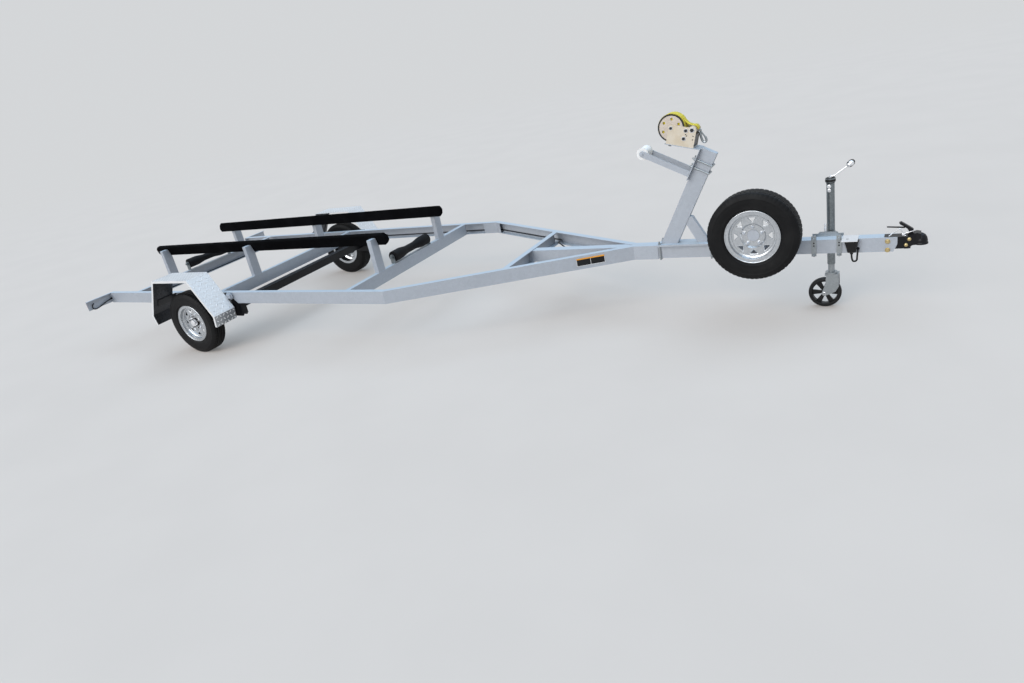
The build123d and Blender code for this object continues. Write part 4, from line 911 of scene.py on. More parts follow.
@dataclass(frozen=True)
class Wheel:
    """A wheel's looks: tyre with tread, rim well, nuts and valve."""

    name: str
    body: str
    centre: Point
    side: Side
    tyre_node: str
    blocks: int = 60
    sipe_steps: int = 5
    groove: float = 0.0065
    shoulder: range = range(16, 22)
    sipe_depth: float = 0.45
    windows: int = 8
    window_radius: float = 0.1068
    lugs: int = 5
    lug_radius: float = 0.05715
    lug_face: float = 0.0101
    valve_turn: float = 45.0
    has_cap: bool = True

    def at(self, radius: float, turn: float, out: float) -> Point:
        """Finds a point of the wheel.

        Args:
            radius: Distance from the axis.
            turn: Angle in degrees, from +X to +Z.
            out: Distance outward from the centre.

        Returns:
            The point.
        """
        x, y, z = self.centre
        angle = math.radians(turn)
        return (x + radius * math.cos(angle), y + self.side.value * out, z + radius * math.sin(angle))

    @property
    def axis(self) -> Point:
        """Returns: The outward direction."""
        return (0.0, float(self.side.value), 0.0)

    def turned(self, word: str, profile: Profile, steps: int = 128, slot: str = "wheel_silver",
               finish: Optional[Finish] = None) -> None:
        """Adds a piece turned about the wheel's axis."""
        piece = lathe(f"{self.name}_{word}", profile, self.centre, self.axis, steps)
        install(piece, self.body, slot, finish=finish)

    def build_tyre(self) -> None:
        """Makes the tyre: rounded side walls, ribs and shoulder blocks."""
        low = 0.2824 - self.groove
        half = [(0.1504, 0.0455), (0.1600, 0.0490), (0.1708, 0.0525), (0.1738, 0.0555), (0.1790, 0.0600),
                (0.1850, 0.0632), (0.1865, 0.0650), (0.1885, 0.0652), (0.1905, 0.0650), (0.2060, 0.0682),
                (0.2200, 0.0697), (0.2340, 0.0699), (0.2440, 0.0690), (0.2455, 0.0696), (0.2475, 0.0690),
                (0.2560, 0.0665), (0.2640, 0.0630), (0.2715, 0.0590), (0.2775, 0.0550), (0.2808, 0.0505),
                (0.2820, 0.0460), (0.2822, 0.0345), (low - 0.0002, 0.0335), (low - 0.0002, 0.0290),
                (0.2823, 0.0280), (0.2824, 0.0120), (low, 0.0110), (low, 0.0070), (0.2824, 0.0060)]
        profile = [(r, -off) for r, off in half] + [(r, off) for r, off in half[::-1]]
        count = len(half)

        def cut(step: int, number: int, radius: float) -> float:
            """Cuts the sipes of a shoulder.

            Args:
                step: Number of the step round.
                number: Number of the profile's point.
                radius: The point's radius.

            Returns:
                The radius, less at a sipe.
            """
            place = number if number < count else 2 * count - 1 - number
            phase = (step + (2 if number < count else 0)) % self.sipe_steps
            return radius - self.groove * self.sipe_depth * (place in self.shoulder and phase == 0)

        steps = self.blocks * self.sipe_steps
        tyre = lathe(self.name + "_tyre", profile, self.centre, self.axis, steps, 28.0, cut)
        install(tyre, self.body, "tyre_rubber", [self.tyre_node])

    def pressing(self) -> Object:
        """Makes the pressed-in border of one window of the disc.

        Returns:
            The border, as a unit for a ring.
        """
        corners = [Vector((-0.0228, 0.0)), Vector((0.0149, 0.0326)), Vector((0.0149, -0.0326))]
        verts = []
        # Columns: size, rounding of the corners, distance outward
        for size, cut, out in ((1.06, 0.02, 0.0232), (1.06, 0.02, 0.0276), (0.94, 0.04, 0.0279),
                               (0.77, 0.10, 0.0256), (0.73, 0.12, 0.0232)):
            for number, corner in enumerate(corners):
                for other in (corners[number - 1], corners[(number + 1) % 3]):
                    spot = corner.lerp(other, cut) * size
                    verts.append((spot.x, spot.y, out))
        return new_object("pressing", verts, skin(5, 6, True), 30.0)

    def build_rim(self) -> None:
        """Adds the rolled lip, the stepped well, the window borders, the nuts, the cap and the valve."""
        self.turned("lip", [(0.1675 + 0.0042 * math.cos(a), 0.0562 + 0.0042 * math.sin(a))
                            for a in round_turns(12)])
        self.turned("well", [
            (0.1660, 0.0570), (0.1632, 0.0540), (0.1610, 0.0505), (0.1560, 0.0490), (0.1520, 0.0478),
            (0.1480, 0.0440), (0.1455, 0.0390), (0.1440, 0.0330), (0.1425, 0.0300), (0.1380, 0.0275),
            (0.1320, 0.0262), (0.1320, 0.0245), (0.1395, 0.0252), (0.1440, 0.0285), (0.1460, 0.0340),
            (0.1475, 0.0400), (0.1500, 0.0450), (0.1570, 0.0470), (0.1620, 0.0485), (0.1640, 0.0530)])
        frames = Ring(self.windows, self.window_radius).build(
            self.name + "_pressings", self.pressing(), placed(self.centre, self.axis))
        install(frames, self.body, "wheel_silver")
        unit = joined("nut", [
            hexagon("nut_head", (0, 0, 0.0), (0, 0, 0.018), 0.0205),
            taper("nut_cone", (0, 0, 0.0), (0, 0, 0.004), 0.0135),
            taper("nut_stud", (0, 0, 0.016), (0, 0, 0.0226), 0.0068, 0.0066)])
        lowest = Matrix.Rotation(math.radians(-90.0 * self.side.value), 4, "Z")
        nuts = Ring(self.lugs, self.lug_radius).build(
            self.name + "_nuts", unit, placed(self.at(0, 0, self.lug_face), self.axis) @ lowest)
        install(nuts, self.body, "wheel_silver", finish=BRIGHT)
        if self.has_cap:
            # A dark lining inside the rim's barrel paints the shade seen through the windows
            self.turned("film", [(0.1440, -0.050), (0.1456, -0.052), (0.1456, 0.010), (0.1440, 0.008)],
                        96, "black_rubber")
            self.turned("cap", [(0, 0.014), (0.0300, 0.014), (0.0312, 0.018), (0.0296, 0.021),
                                (0.0294, 0.043), (0.0262, 0.0500), (0.020, 0.0524), (0, 0.0528)],
                        64, finish=BRIGHT)
        for word, ends, radii, slot, finish in (
                ("valve", ((0.1500, 0.036), (0.1390, 0.052)), (0.0058, 0.0042), "black_rubber", None),
                ("valve_cap", ((0.1392, 0.052), (0.1290, 0.067)), (0.0046, 0.0042), "wheel_silver", BRIGHT)):
            start, end = (self.at(radius, self.valve_turn, out) for radius, out in ends)
            install(taper(f"{self.name}_{word}", start, end, *radii), self.body, slot, finish=finish)

    def dress(self) -> None:
        """Builds all that the wheel shows over its CAD nodes."""
        self.build_tyre()
        self.build_rim()


@dataclass(frozen=True)
class Bunk:
    """A carpeted plank, with its carpet wrapped round rounded edges."""

    side: Side
    rear: float = -3.221
    front: float = -0.223
    middle_y: float = 0.400
    middle_z: float = 0.765
    half_tall: float = 0.0475
    half_thick: float = 0.0225
    cut: float = 0.026
    lean: float = 15.0
    round: float = 0.007
    steps: int = 60
    end_trim: float = 0.003
    end_reach: float = 0.006
    swell: float = 0.0006

    def section(self, tall: float, thick: float) -> list[tuple[float, float]]:
        """Draws the plank's outline across.

        Args:
            tall: Half of its height.
            thick: Half of its thickness.

        Returns:
            The points, with rounded corners.
        """
        points = []
        for sy, sz, first in ((1, 1, 0), (-1, 1, 90), (-1, -1, 180), (1, -1, 270)):
            for step in range(4):
                turn = math.radians(first + 30 * step)
                points.append((sy * (thick - self.round) + self.round * math.cos(turn),
                               sz * (tall - self.round) + self.round * math.sin(turn)))
        return points

    def dress(self) -> None:
        """Makes the plank in place of its CAD node."""
        stations = [self.rear + off for off in (0, 0.002, 0.006, 0.014, self.cut, self.cut + 0.01)]
        first, last = stations[-1], self.front - self.cut - 0.01
        inner = [first + (last - first) * k / self.steps for k in range(1, self.steps)]
        stations = stations + inner + [self.rear + self.front - x for x in stations[::-1]]
        angle = math.radians(-self.lean * self.side.value)
        middle = Matrix.Translation((0, self.side.value * self.middle_y, self.middle_z))
        matrix = middle @ Matrix.Rotation(angle, 4, "X")
        verts = []
        for number, x in enumerate(stations):
            from_end = min(x - self.rear, self.front - x)
            tall = self.half_tall - max(0.0, self.cut - from_end)
            trim = self.end_trim * max(0.0, 1 - from_end / self.end_reach)
            wave = abs(self.swell * math.sin(number * 1.7) * math.sin(number * 0.41))
            for y, z in self.section(tall - trim, self.half_thick - trim):
                verts.append(matrix @ Vector((x, y * (1.0 - wave / self.half_thick),
                                              z * (1.0 - wave / self.half_tall))))
        faces = skin(len(stations), len(self.section(1, 1)), False)
        word = self.side.name.lower()
        install(new_object("carpet_" + word, verts, faces, 50.0), "chassis", "bunk_carpet", ["bunk_" + word])


@dataclass(frozen=True)
class KeelRoller:
    """A long moulded roller with a waist."""

    name: str
    centre: Point
    radius: float = 0.046
    waist: float = 0.033
    half: float = 0.250
    bore: float = 0.0091

    def dress(self) -> None:
        """Makes the roller in place of its CAD node."""
        side = []
        for step in range(25):
            off = self.half * 0.985 * step / 24
            share = min(1.0, max(0.0, (off / self.half - 0.18) / 0.46))
            swell = self.waist + (self.radius - self.waist) * (3 * share ** 2 - 2 * share ** 3)
            side.append((swell, off))
        edge = [(self.radius - 0.002, self.half - 0.001), (self.radius - 0.005, self.half),
                (0.020, self.half), (0.018, self.half - 0.004), (self.bore, self.half - 0.004)]
        roller = lathe(self.name + "_moulded", mirrored(side + edge), self.centre, (0, 1, 0), 72)
        install(roller, self.name, "black_rubber", [self.name])
        x, _, z = self.centre
        nuts = [hexagon("pin_nut", (x, s * 0.274, z), (x, s * 0.284, z), 0.020, 0.014) for s in (-1, 1)]
        install(joined(self.name + "_nuts", nuts), "chassis", "zinc_plate")


@dataclass(frozen=True)
class Winch:
    """The winch's strap, gear teeth, hook, bolts and grip."""

    bend: tuple[float, float] = (2.23714, 1.14419)
    tilt: float = math.radians(15.6)
    bar: tuple[float, float] = (0.074, 0.111)
    drum: tuple[float, float] = (0.213, 0.102)
    pinion: tuple[float, float] = (0.113, 0.102)
    tie: tuple[float, float] = (0.118, 0.050)
    half: float = 0.057
    roll: float = 0.090
    core: float = 0.019
    layers: int = 17
    teeth: int = 88
    tooth_radius: float = 0.0855
    gear_y: float = -0.0495

    def at(self, v: float, w: float) -> tuple[float, float]:
        """Returns: The (x, z) point at v rearward along the winch's base and w above it."""
        x0, z0 = self.bend
        return (x0 - v * math.cos(self.tilt) + w * math.sin(self.tilt),
                z0 + v * math.sin(self.tilt) + w * math.cos(self.tilt))

    def build_strap(self) -> None:
        """Makes the wound roll, and the strap that leaves it over the front bar."""
        x, z = self.at(*self.drum)
        side = []
        for number in range(self.layers):
            radius = self.core + (self.roll - self.core) * number / (self.layers - 1)
            inward = 0.0012 * math.sin(number * 2.3)
            side.append((radius, 0.0338 + inward * 0.5 - 0.0006))
            side.append((radius + 0.0020 * (number < self.layers - 1), 0.0322 + inward * 0.5))
        near = [(r, -off - 0.0095) for r, off in side]
        profile = near + [(r, off) for r, off in side[::-1]]
        roll = lathe("strap_roll", profile, (x, 0, z), (0, 1, 0), 80)
        core = lathe("drum_core", [(0.0084, -0.0466), (0.016, -0.0466), (0.016, 0.0526), (0.0084, 0.0526)],
                     (x, 0, z), (0, 1, 0), 48)
        install(roll, "chassis", "yellow_webbing", ["winch_drum"])
        install(core, "chassis", "winch_cream")
        over = self.at(self.bar[0], self.bar[1] + 0.0258)
        around = self.roll + 0.0018
        hug = [self.at(self.drum[0] - around * math.cos(a), self.drum[1] + around * math.sin(a))
               for a in (math.radians(degrees) for degrees in (58, 47, 38))]
        slack = self.at(self.bar[0] + 0.037, self.bar[1] + 0.0290)
        ahead = [self.at(self.bar[0] - a, self.bar[1] + up)
                 for a, up in ((0.014, 0.024), (0.025, 0.015), (0.031, 0.003))]
        strap = ribbon("strap", [*hug, slack, over, *ahead], 0.025, 0.003)
        install(strap, "chassis", "yellow_webbing", ["winch_strap"])
        stitch = ribbon("strap_fold", [(x + 0.001, z + 0.003) for x, z in (over, *ahead)], 0.0245, 0.0028)
        install(stitch, "chassis", "yellow_webbing")

    def build_hook(self) -> None:
        """Makes the snap hook of round bar, with its latch."""
        x, z = self.at(self.bar[0] - 0.031, self.bar[1] + 0.003)
        lean = Matrix.Translation((x, 0, z)) @ Matrix.Rotation(math.radians(-22.0), 4, "Y")

        def spot(along: float, down: float) -> Point:
            """Returns: A point of the hook, along and down from where it hangs."""
            return tuple(lean @ Vector((along, 0, -down)))

        eye = tube("hook_eye", [spot(0.009 * math.cos(a), 0.011 + 0.009 * math.sin(a))
                                for a in round_turns(8)], 0.0042, True)
        bend = tube("hook_bend", [spot(*place) for place in (
            (-0.004, 0.020), (-0.008, 0.034), (-0.013, 0.062), (-0.014, 0.082), (-0.006, 0.092),
            (0.006, 0.092), (0.014, 0.080), (0.013, 0.062))], 0.0078)
        latch = tube("hook_latch", [spot(0.004, 0.022), spot(0.008, 0.040), spot(0.012, 0.062)], 0.0052)
        install(joined("hook", [eye, bend, latch]), "chassis", "zinc_plate", ["winch_hook"], PALE_ZINC)

    def build_gear(self) -> None:
        """Adds the toothed rim to the gear."""
        x, z = self.at(*self.drum)
        centre = (x, self.gear_y, z)
        unit = prism("tooth", *([(u, v, w) for u, v in ((-0.001, -0.0018), (-0.001, 0.0018), (0.0032, 0.0010),
                                                        (0.0032, -0.0010))] for w in (-0.0027, 0.0027)))
        teeth = Ring(self.teeth, self.tooth_radius).build("gear_teeth", unit, placed(centre, (0, -1, 0)))
        band = lathe("gear_band", [(0.0775, -0.0029), (0.0862, -0.0029), (0.0862, 0.0029), (0.0775, 0.0029)],
                     centre, (0, -1, 0), 96)
        install(joined("gear_rim", [teeth, band]), "chassis", "winch_cream", finish=DARK_STEEL_AND_SHADE)

    def build_bolts(self) -> None:
        """Adds nuts on the shafts' ends, dark discs that paint the shade of holes, a black plate that paints
        the shade in the open front, and the crank's grip.
        """
        dark, washers, hole_shades = [], [], []
        for place, size in ((self.drum, 0.017), (self.pinion, 0.019), (self.tie, 0.019), (self.bar, 0.022)):
            x, z = self.at(*place)
            for s in (-1, 1):
                seat = (x, s * self.half, z)
                if place is not self.pinion or s == -1:
                    dark.append(hexagon("shaft_nut", seat, (x, s * (self.half + 0.010), z), size))
                    washers.append(taper("washer", seat, (x, s * (self.half + 0.0022), z), size * 0.78,
                                         steps=32))
        # Dark discs on the near plate paint the shade of holes
        for v, w in ((0.060, 0.074), (0.060, 0.052), (0.102, 0.070), (0.110, 0.078)):
            x, z = self.at(v, w)
            hole_shades.append(taper("hole", (x, -self.half, z), (x, -self.half - 0.0006, z), 0.0036, steps=20))
        install(joined("winch_nuts", dark), "chassis", "zinc_plate", finish=DARK_STEEL_AND_SHADE)
        install(joined("winch_washers", washers), "chassis", "zinc_plate", finish=BRIGHT)
        install(joined("winch_holes", hole_shades), "chassis", "winch_cream", finish=DARK_STEEL_AND_SHADE)
        # A black plate across the frame's open front paints the shade inside the winch
        turn = Matrix.Translation((self.bend[0], 0, self.bend[1])) @ Matrix.Rotation(self.tilt, 4, "Y")
        shade_plate = block("winch_cover", (-0.0535, -0.0510, 0.007), (-0.0485, 0.0510, 0.084), 0.001, turn)
        install(shade_plate, "chassis", "black_paint")
        x, z = self.at(self.pinion[0] + 0.122, self.pinion[1] - 0.134)
        grip = lathe("winch_grip", [(0.0, -0.001), (0.013, -0.001), (0.0150, 0.004), (0.0146, 0.020),
                                    (0.0158, 0.050), (0.0150, 0.080), (0.0165, 0.094), (0.0150, 0.106),
                                    (0.0, 0.108)], (x, self.half + 0.022, z), (0, 1, 0), 48)
        install(grip, "chassis", "black_plastic")

    def dress(self) -> None:
        """Builds all that the winch shows over its CAD nodes."""
        self.build_strap()
        self.build_hook()
        self.build_gear()
        self.build_bolts()


@dataclass(frozen=True)
class Jack:
    """The jack's cap, knob, pin, wheel and welds."""

    x: float = 2.989
    y: float = 0.084
    cap_low: float = 0.838
    wheel_x: float = 2.949
    wheel_z: float = 0.1016
    spokes: int = 6
    spoke_radius: float = 0.050

    def build_top(self) -> None:
        """Adds the plastic cap, the crank's knob and boss, and two bolts."""
        cap = lathe("jack_cap", [(0, -0.006), (0.0255, -0.006), (0.0262, 0.0), (0.0305, 0.004),
                                 (0.0310, 0.010), (0.0295, 0.021), (0.024, 0.0262), (0.010, 0.0268),
                                 (0, 0.0268)], (self.x, self.y, self.cap_low), (0, 0, 1), 64)
        install(cap, "jack_leg", "black_plastic")
        knob = lathe("jack_knob", [(0, -0.012), (0.010, -0.012), (0.0175, -0.004), (0.0195, 0.010),
                                   (0.0195, 0.034), (0.0165, 0.046), (0.010, 0.050), (0, 0.050)],
                     (self.x + 0.108, self.y, 0.936), (0.25, 0.95, 0.1), 48)
        install(knob, "jack_leg", "black_plastic")
        x, y = self.x, self.y
        parts = [taper("crank_boss", (x + 0.100, y - 0.016, 0.931), (x + 0.112, y + 0.004, 0.940), 0.0125)]
        for z, tall, flats, washer in ((0.812, 0.0075, 0.018, 0.012), (0.788, 0.0070, 0.016, 0.011)):
            seat, face = (x - 0.006, y - 0.0235, z), (x - 0.007, y - 0.0235 - tall, z)
            parts.append(hexagon("cap_bolt", seat, face, flats, washer))
        install(joined("jack_bolts", parts), "jack_leg", "zinc_plate", finish=BRIGHT)

    def build_bracket(self) -> None:
        """Adds the pull pin, the weld round the tube, the clamp's bolt heads, and dark discs that paint the
        shade of its holes.
        """
        x = self.x - 0.030
        pin = joined("pull_pin", [
            taper("pin_body", (x, 0.058, 0.527), (x, 0.058, 0.552), 0.0090, 0.0080),
            taper("pin_grip", (x, 0.058, 0.552), (x, 0.058, 0.576), 0.0075, 0.0065)])
        install(pin, "chassis", "zinc_plate", finish=BRIGHT)
        weld = lathe("jack_weld", [(0.0238, -0.004), (0.0275, -0.003), (0.0285, 0.002), (0.0265, 0.007),
                                   (0.0238, 0.009)], (self.x, self.y, 0.512), (0, 0, 1), 72, 60.0,
                     lambda step, number, radius: radius + 0.0008 * (step % 3 == 0 and 0 < number < 4))
        install(weld, "jack_leg", "zinc_plate")
        heads, hole_shades = [], []
        for x in (self.x - 0.088, self.x + 0.058):
            for z, tall, flats, washer in ((0.508, 0.010, 0.016, 0.0115), (0.402, 0.009, 0.014, 0.0105)):
                heads.append(hexagon("clamp_head", (x, -0.046, z), (x, -0.046 - tall, z), flats, washer))
            heads.append(taper("clamp_tail", (x, -0.056, 0.402), (x, -0.062, 0.402), 0.0055))
            # Dark discs on the clamp bars paint the shade of their holes
            for z in (0.482, 0.464):
                hole_shades.append(lathe("hole", [(0, 0), (0.0052, 0), (0.0052, 0.0006), (0, 0.0006)],
                                   (x, -0.0461, z), (0, -1, 0), 24))
        install(joined("clamp_bolts", heads), "chassis", "zinc_plate", finish=PALE_ZINC)
        install(joined("clamp_holes", hole_shades), "chassis", "zinc_plate", finish=DARK_STEEL_AND_SHADE)

    def build_wheel(self) -> None:
        """Makes the jack's wheel: a solid tyre, a rim and six spokes."""
        x, y, z = centre = (self.wheel_x, self.y, self.wheel_z)
        half = [(0.0765, 0.0), (0.0765, 0.017), (0.0790, 0.0195), (0.0880, 0.0210), (0.0945, 0.0200),
                (0.0990, 0.0160), (0.1010, 0.0100), (0.1014, 0.0)]
        tyre = lathe("jack_tyre", mirrored(half), centre, (0, 1, 0), 96)
        hub = lathe("jack_hub", [(0.0081, -0.0225), (0.0190, -0.0225), (0.0215, -0.017), (0.0225, 0.017),
                                 (0.0190, 0.0225), (0.0081, 0.0225)], centre, (0, 1, 0), 48)
        unit = prism("spoke", *([(u, v, w) for u, v in ((-0.031, -0.0095), (0.026, -0.0165), (0.030, -0.0300),
                                                        (0.030, 0.0300), (0.026, 0.0165), (-0.031, 0.0095))]
                                for w in (-0.006, 0.006)), 25.0)
        spokes = Ring(self.spokes, self.spoke_radius).build("jack_spokes", unit, placed(centre, (0, 1, 0)))
        wheel = joined("jack_wheel_moulded", [tyre, hub, spokes])
        install(wheel, "jack_wheel", "black_plastic", ["jack_wheel"])
        nuts = [hexagon("axle_nut", (x, y + s * 0.032, z), (x, y + s * 0.0375, z), 0.019) for s in (-1, 1)]
        install(joined("jack_axle_nuts", nuts), "jack_castor", "zinc_plate", finish=BRIGHT)

    def dress(self) -> None:
        """Builds all that the jack shows over its CAD nodes."""
        self.build_top()
        self.build_bracket()
        self.build_wheel()


@dataclass(frozen=True)
class Coupler:
    """The coupler's bolts, lever, trigger and safety clip."""

    end: float = 3.366
    half: float = 0.038
    clip_y: float = -0.0185

    def clip(self, name: str, places: Sequence[Point], radius: float) -> Object:
        """Returns: A wire through places measured from the tongue's end and the clip's plane."""
        return tube(name, [(self.end + x, self.clip_y + y, z) for x, y, z in places], radius)

    def dress(self) -> None:
        """Adds the bolts, the lever with its trigger, and the sprung clip."""
        heads = []
        x = self.end - 0.052
        for z in (0.475, 0.421):
            for s, tall in ((-1, 0.013), (1, 0.008)):
                heads.append(hexagon("tongue_bolt", (x, s * self.half, z), (x, s * (self.half + tall), z),
                                     0.021, 0.0145))
        for x, z in ((0.062, 0.485), (0.046, 0.450)):
            for s in (-1, 1):
                heads.append(lathe("coupler_bolt", [(0, 0), (0.0115, 0), (0.0112, 0.003), (0.0085, 0.0068),
                                                    (0.004, 0.0085), (0, 0.0088)],
                                   (self.end + x, s * self.half, z), (0, s, 0), 32))
        install(joined("coupler_bolts", heads), "chassis", "winch_cream", finish=GOLD)
        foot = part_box("coupler_lever")[1][0] - 0.0095
        outline = [(-0.069, 0.580), (-0.057, 0.585), (-0.020, 0.5585), (0.009, 0.537), (0.005, 0.511),
                   (-0.024, 0.502), (-0.014, 0.522), (-0.024, 0.541), (-0.042, 0.556), (-0.062, 0.569)]
        lever = prism("latch_lever", *([(foot + x, y, z) for x, z in outline] for y in (-0.0135, 0.0135)))
        edge = lever.modifiers.new("edge", "BEVEL")
        edge.width, edge.segments = 0.0022, 2
        install(lever, "chassis", "black_paint", ["coupler_lever"])
        trigger = taper("latch_trigger", (foot - 0.133, 0, 0.555), (foot - 0.036, 0, 0.5475), 0.0042, 0.0048)
        install(trigger, "chassis", "black_paint")
        wire = self.clip("clip_wire", [
            (-0.046, -0.012, 0.5045), (-0.026, -0.002, 0.520), (-0.004, 0, 0.536), (0.011, 0, 0.548),
            (0.017, 0, 0.543), (0.021, 0, 0.530), (0.030, 0, 0.515), (0.042, -0.010, 0.503)], 0.0030)
        arm = self.clip("clip_arm", [
            (0.029, 0, 0.514), (0.044, 0, 0.517), (0.060, 0, 0.523), (0.081, 0.004, 0.5275)], 0.0026)
        turns = enumerate(ROUND * k / 6 for k in range(13))
        coil = self.clip("clip_coil", [(0.030 + 0.006 * math.cos(a), -0.0008 * k, 0.512 + 0.006 * math.sin(a))
                                       for k, a in turns], 0.0024)
        install(joined("safety_clip", [wire, arm, coil]), "chassis", "zinc_plate", finish=BRIGHT)


@dataclass(frozen=True)
class Cords:
    """The two hanging cables, with their reliefs, and the clips on the wiring."""

    plug: tuple[float, float] = (3.119, -0.068)
    lamp: tuple[float, float] = (-3.489, -0.908)
    clips: int = 5
    clip_step: float = 0.62

    def dress(self) -> None:
        """Makes the cables, their tapered reliefs and the clips."""
        x, y = self.plug
        route = [(x + 0.0345, -0.0383, 0.436), (x + 0.0345, -0.060, 0.436), (x + 0.032, y, 0.400),
                 (x + 0.0295, y, 0.3635), (x, y, 0.3635), (x, y, 0.412)]
        lead = curved("plug_lead", route, 0.0055, 4)
        install(lead, "chassis", "cable_black", ["plug_cable"])
        rear, out = self.lamp
        route = [(rear + x, out + y, z) for x, y, z in (
            (0.011, -0.0003, 0.450), (0.011, -0.042, 0.446), (0.010, -0.092, 0.432), (0.009, -0.148, 0.413),
            (0.009, -0.206, 0.409), (0.009, -0.214, 0.456), (0.0056, -0.184, 0.468))]
        lead = curved("lamp_lead", route, 0.005, 4)
        install(lead, "chassis", "cable_black", ["lamp_cable"])
        x, rear = x + 0.0345, rear + 0.011
        relief = [taper("relief", (x, -0.0375, 0.436), (x, -0.048, 0.436), 0.0095, 0.0065),
                  taper("lamp_relief", (rear, out, 0.450), (rear, out - 0.020, 0.449), 0.0085, 0.0058)]
        install(joined("cable_reliefs", relief), "chassis", "black_rubber")
        unit = joined("clip", [
            block("clip_band", (-0.008, -0.0065, -0.0068), (0.008, 0.0065, 0.0068), 0.0015),
            block("clip_foot", (-0.006, 0.0050, 0.0050), (0.006, 0.0099, 0.016), 0.001)])
        first = Matrix.Translation((-3.20, 0.898, 0.429))
        row = Row(self.clips, (self.clip_step, 0.0, 0.0)).build("wiring_clips", unit, first)
        install(row, "chassis", "black_plastic")


@dataclass(frozen=True)
class Trim:
    """The frame's bolts, the ends of its stays and the borders of its plates."""

    def build_bolts(self) -> None:
        """Adds the bolts of the axle's mounts."""
        x, z = -1.694, 0.426
        heads = [hexagon("mount_bolt", (x, s * 0.914, z), (x, s * 0.924, z), 0.019, 0.014) for s in (-1, 1)]
        install(joined("frame_bolts", heads), "chassis", "zinc_plate")

    def build_stay_ends(self) -> None:
        """Adds the rounded end of each front stay, against the rail's outer face."""
        ends = []
        for side in Side:
            y0, y1 = sorted((side.value * 0.9082, side.value * 0.9392))
            ends.append(block("stay_end", (-1.712, y0, 0.447), (-1.640, y1, 0.5055), 0.012))
        install(joined("stay_ends", ends), "chassis", "frame_paint")

    def build_borders(self) -> None:
        """Adds the pale border strips of the blank plates on the legs."""
        strips = []
        for side in Side:
            ahead = Vector((0.887, -side.value * 0.4618, 0.0))
            out = Vector((0.4618, side.value * 0.887, 0.0))
            for start, long, low, high in ((1.4535, 0.0025, 0.432, 0.4765), (1.555, 0.003, 0.432, 0.4765),
                                           (1.658, 0.0025, 0.432, 0.4765), (1.4535, 0.207, 0.4295, 0.432)):
                corner = Vector((0.038, side.value * 0.908, 0.0)) + ahead * start + out * 0.0001
                matrix = Matrix((ahead, out, Vector((0, 0, 1)))).transposed().to_4x4()
                matrix.translation = corner
                strips.append(block("border", (0, 0, low), (long, 0.0026, high), 0.0003, matrix))
        install(joined("plate_borders", strips), "chassis", "white_roller")

    def dress(self) -> None:
        """Builds the frame's trim."""
        self.build_bolts()
        self.build_stay_ends()
        self.build_borders()


# Stage


@dataclass(frozen=True)
class Shot:
    """The camera that took the photograph."""

    place: Point = (3.4581, -4.6261, 1.9614)
    right: Point = (0.86601872, 0.46379608, -0.18682816)
    up: Point = (-0.0321539, 0.42453116, 0.90484221)
    lens: float = 24.3625
    sensor: float = 36.0

    def build(self) -> None:
        """Makes the camera and gives it to the scene."""
        data = bpy.data.cameras.new("camera")
        data.lens = self.lens
        data.sensor_width = self.sensor
        data.sensor_fit = "HORIZONTAL"
        data.clip_end = 400.0
        camera = in_scene("camera", data)
        right = Vector(self.right).normalized()
        up = (Vector(self.up) - right * right.dot(Vector(self.up))).normalized()
        back = right.cross(up)
        matrix = Matrix((right, up, back)).transposed().to_4x4()
        matrix.translation = Vector(self.place)
        camera.matrix_world = matrix
        bpy.context.scene.camera = camera


def shows_backdrop(graph: Graph) -> Signal:
    """Tells the rays that show the backdrop from those that light the trailer.

    Args:
        graph: The node tree.

    Returns:
        1 for a ray to the camera, from gloss or through glass, else 0.
    """
    path = graph.add("ShaderNodeLightPath").outputs
    seen = Signal(graph, path["Is Camera Ray"])
    for kind in ("Is Glossy Ray", "Is Transmission Ray"):
        seen = seen + Signal(graph, path[kind])
    return seen.least(1.0)


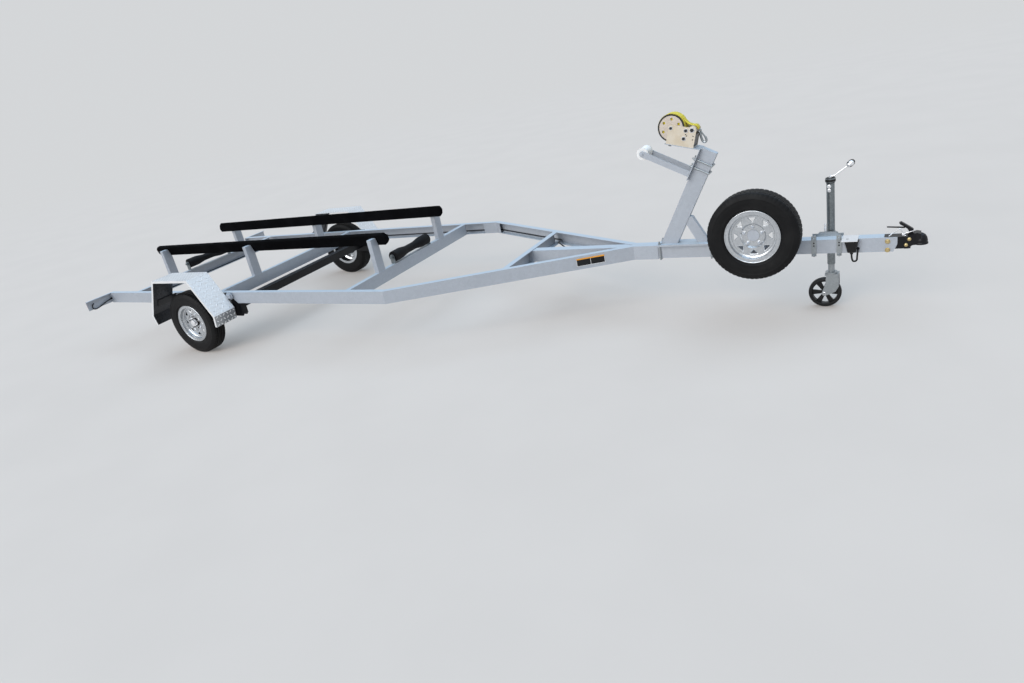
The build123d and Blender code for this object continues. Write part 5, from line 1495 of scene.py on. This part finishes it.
@dataclass(frozen=True)
class Studio:
    """A pale floor under a wide soft light."""

    floor: Colour = (0.668, 0.584, 0.515)
    sky: Colour = (0.60, 0.64, 0.70)
    backdrop: Colour = (0.66, 0.675, 0.69)
    sky_strength: float = 0.62
    reach: float = 150.0

    def build_floor(self) -> None:
        """Makes the floor."""
        r = self.reach
        floor = new_object("floor", [(-r, -r, 0), (r, -r, 0), (r, r, 0), (-r, r, 0)], [(0, 1, 2, 3)])
        material = bpy.data.materials.new("floor_finish")
        graph = Canvas(material)
        x, y, _ = graph.spot()
        away = (x * x + y * y).ramp(25.0, 900.0)
        tone = tuple(channel * 0.97 for channel in self.floor)
        colour = graph.mix(graph.noise(1.2, 4.0).ramp(0.3, 0.7), opaque(self.floor), opaque(tone))
        matt = graph.add("ShaderNodeBsdfPrincipled", {
            "Base Color": colour, "Roughness": 0.9, "Specular IOR Level": 0.1})
        glow = graph.add("ShaderNodeEmission", {"Color": opaque(self.backdrop), "Strength": 1.0})
        both = graph.add("ShaderNodeMixShader", {
            0: (0.2 + 0.8 * away) * shows_backdrop(graph), 1: matt.outputs[0], 2: glow.outputs[0]})
        graph.add("ShaderNodeOutputMaterial", {"Surface": both.outputs[0]})
        floor.data.materials.append(material)

    def build_world(self) -> None:
        """Makes the sky that lights the trailer, and the pale backdrop that the camera sees."""
        world = bpy.data.worlds.new("studio")
        world.use_nodes = True
        bpy.context.scene.world = world
        graph = Graph(world.node_tree)
        sky = graph.add("ShaderNodeBackground", {"Color": opaque(self.sky), "Strength": self.sky_strength})
        back = graph.add("ShaderNodeBackground", {"Color": opaque(self.backdrop), "Strength": 1.0})
        both = graph.add("ShaderNodeMixShader", {
            0: shows_backdrop(graph), 1: sky.outputs[0], 2: back.outputs[0]})
        graph.add("ShaderNodeOutputWorld", {"Surface": both.outputs[0]})

    def light(self, name: str, towards: Point, spread: float, power: float, colour: Colour) -> None:
        """Adds one soft light from far away.

        Args:
            name: Its name.
            towards: Direction from the trailer to it.
            spread: How wide it is, in degrees.
            power: Its strength.
            colour: Its colour.
        """
        data = bpy.data.lights.new(name, "SUN")
        data.angle = math.radians(spread)
        data.energy = power
        data.color = colour
        in_scene(name, data).rotation_euler = Vector(towards).to_track_quat("Z", "Y").to_euler()

    def build(self) -> None:
        """Makes floor, sky and lights."""
        self.build_floor()
        self.build_world()
        self.light("side_light", (-0.30, -0.85, 0.50), 50.0, 1.85, (1.0, 0.985, 0.97))
        self.light("top_light", (0.10, 0.10, 1.0), 80.0, 2.1, (0.52, 0.75, 1.0))
        bpy.context.scene.view_settings.view_transform = "Standard"


def finish_nodes() -> None:
    """Gives each CAD node the material of its slot in the record."""
    slots = {part["node"]: part["material_slot"] for part in frame["record"]["subparts"]}
    for name, node in frame["nodes"].items():
        slot = slots[name]
        own = NODE_FINISHES.get(name)
        node.data.materials.clear()
        node.data.materials.append(material_of(own or FINISHES[slot], name + "_finish" if own else slot))
        LOG.info("node %s, slot %s", name, slot)


def main() -> None:
    """Builds the whole scene."""
    logging.basicConfig(level=logging.INFO, format="%(name)s: %(message)s")
    Shot().build()
    finish_nodes()
    Cords().dress()
    for side in Side:
        word = side.name.lower()
        centre = (AXLE_X, side.value * WHEEL_Y, WHEEL_Z)
        Wheel("wheel_" + word, "wheel_" + word, centre, side, "tyre_" + word).dress()
        Bunk(side).dress()
    Wheel("spare", "chassis", (2.574, -0.226, 0.612), Side.RIGHT, "spare_tyre", has_cap=False).dress()
    KeelRoller("keel_roller_rear", (-3.0565, 0.0, 0.571)).dress()
    KeelRoller("keel_roller_front", (-0.3435, 0.0, 0.562)).dress()
    Winch().dress()
    Jack().dress()
    Coupler().dress()
    Trim().dress()
    Studio().build()


if __name__ == "__main__":
    main()
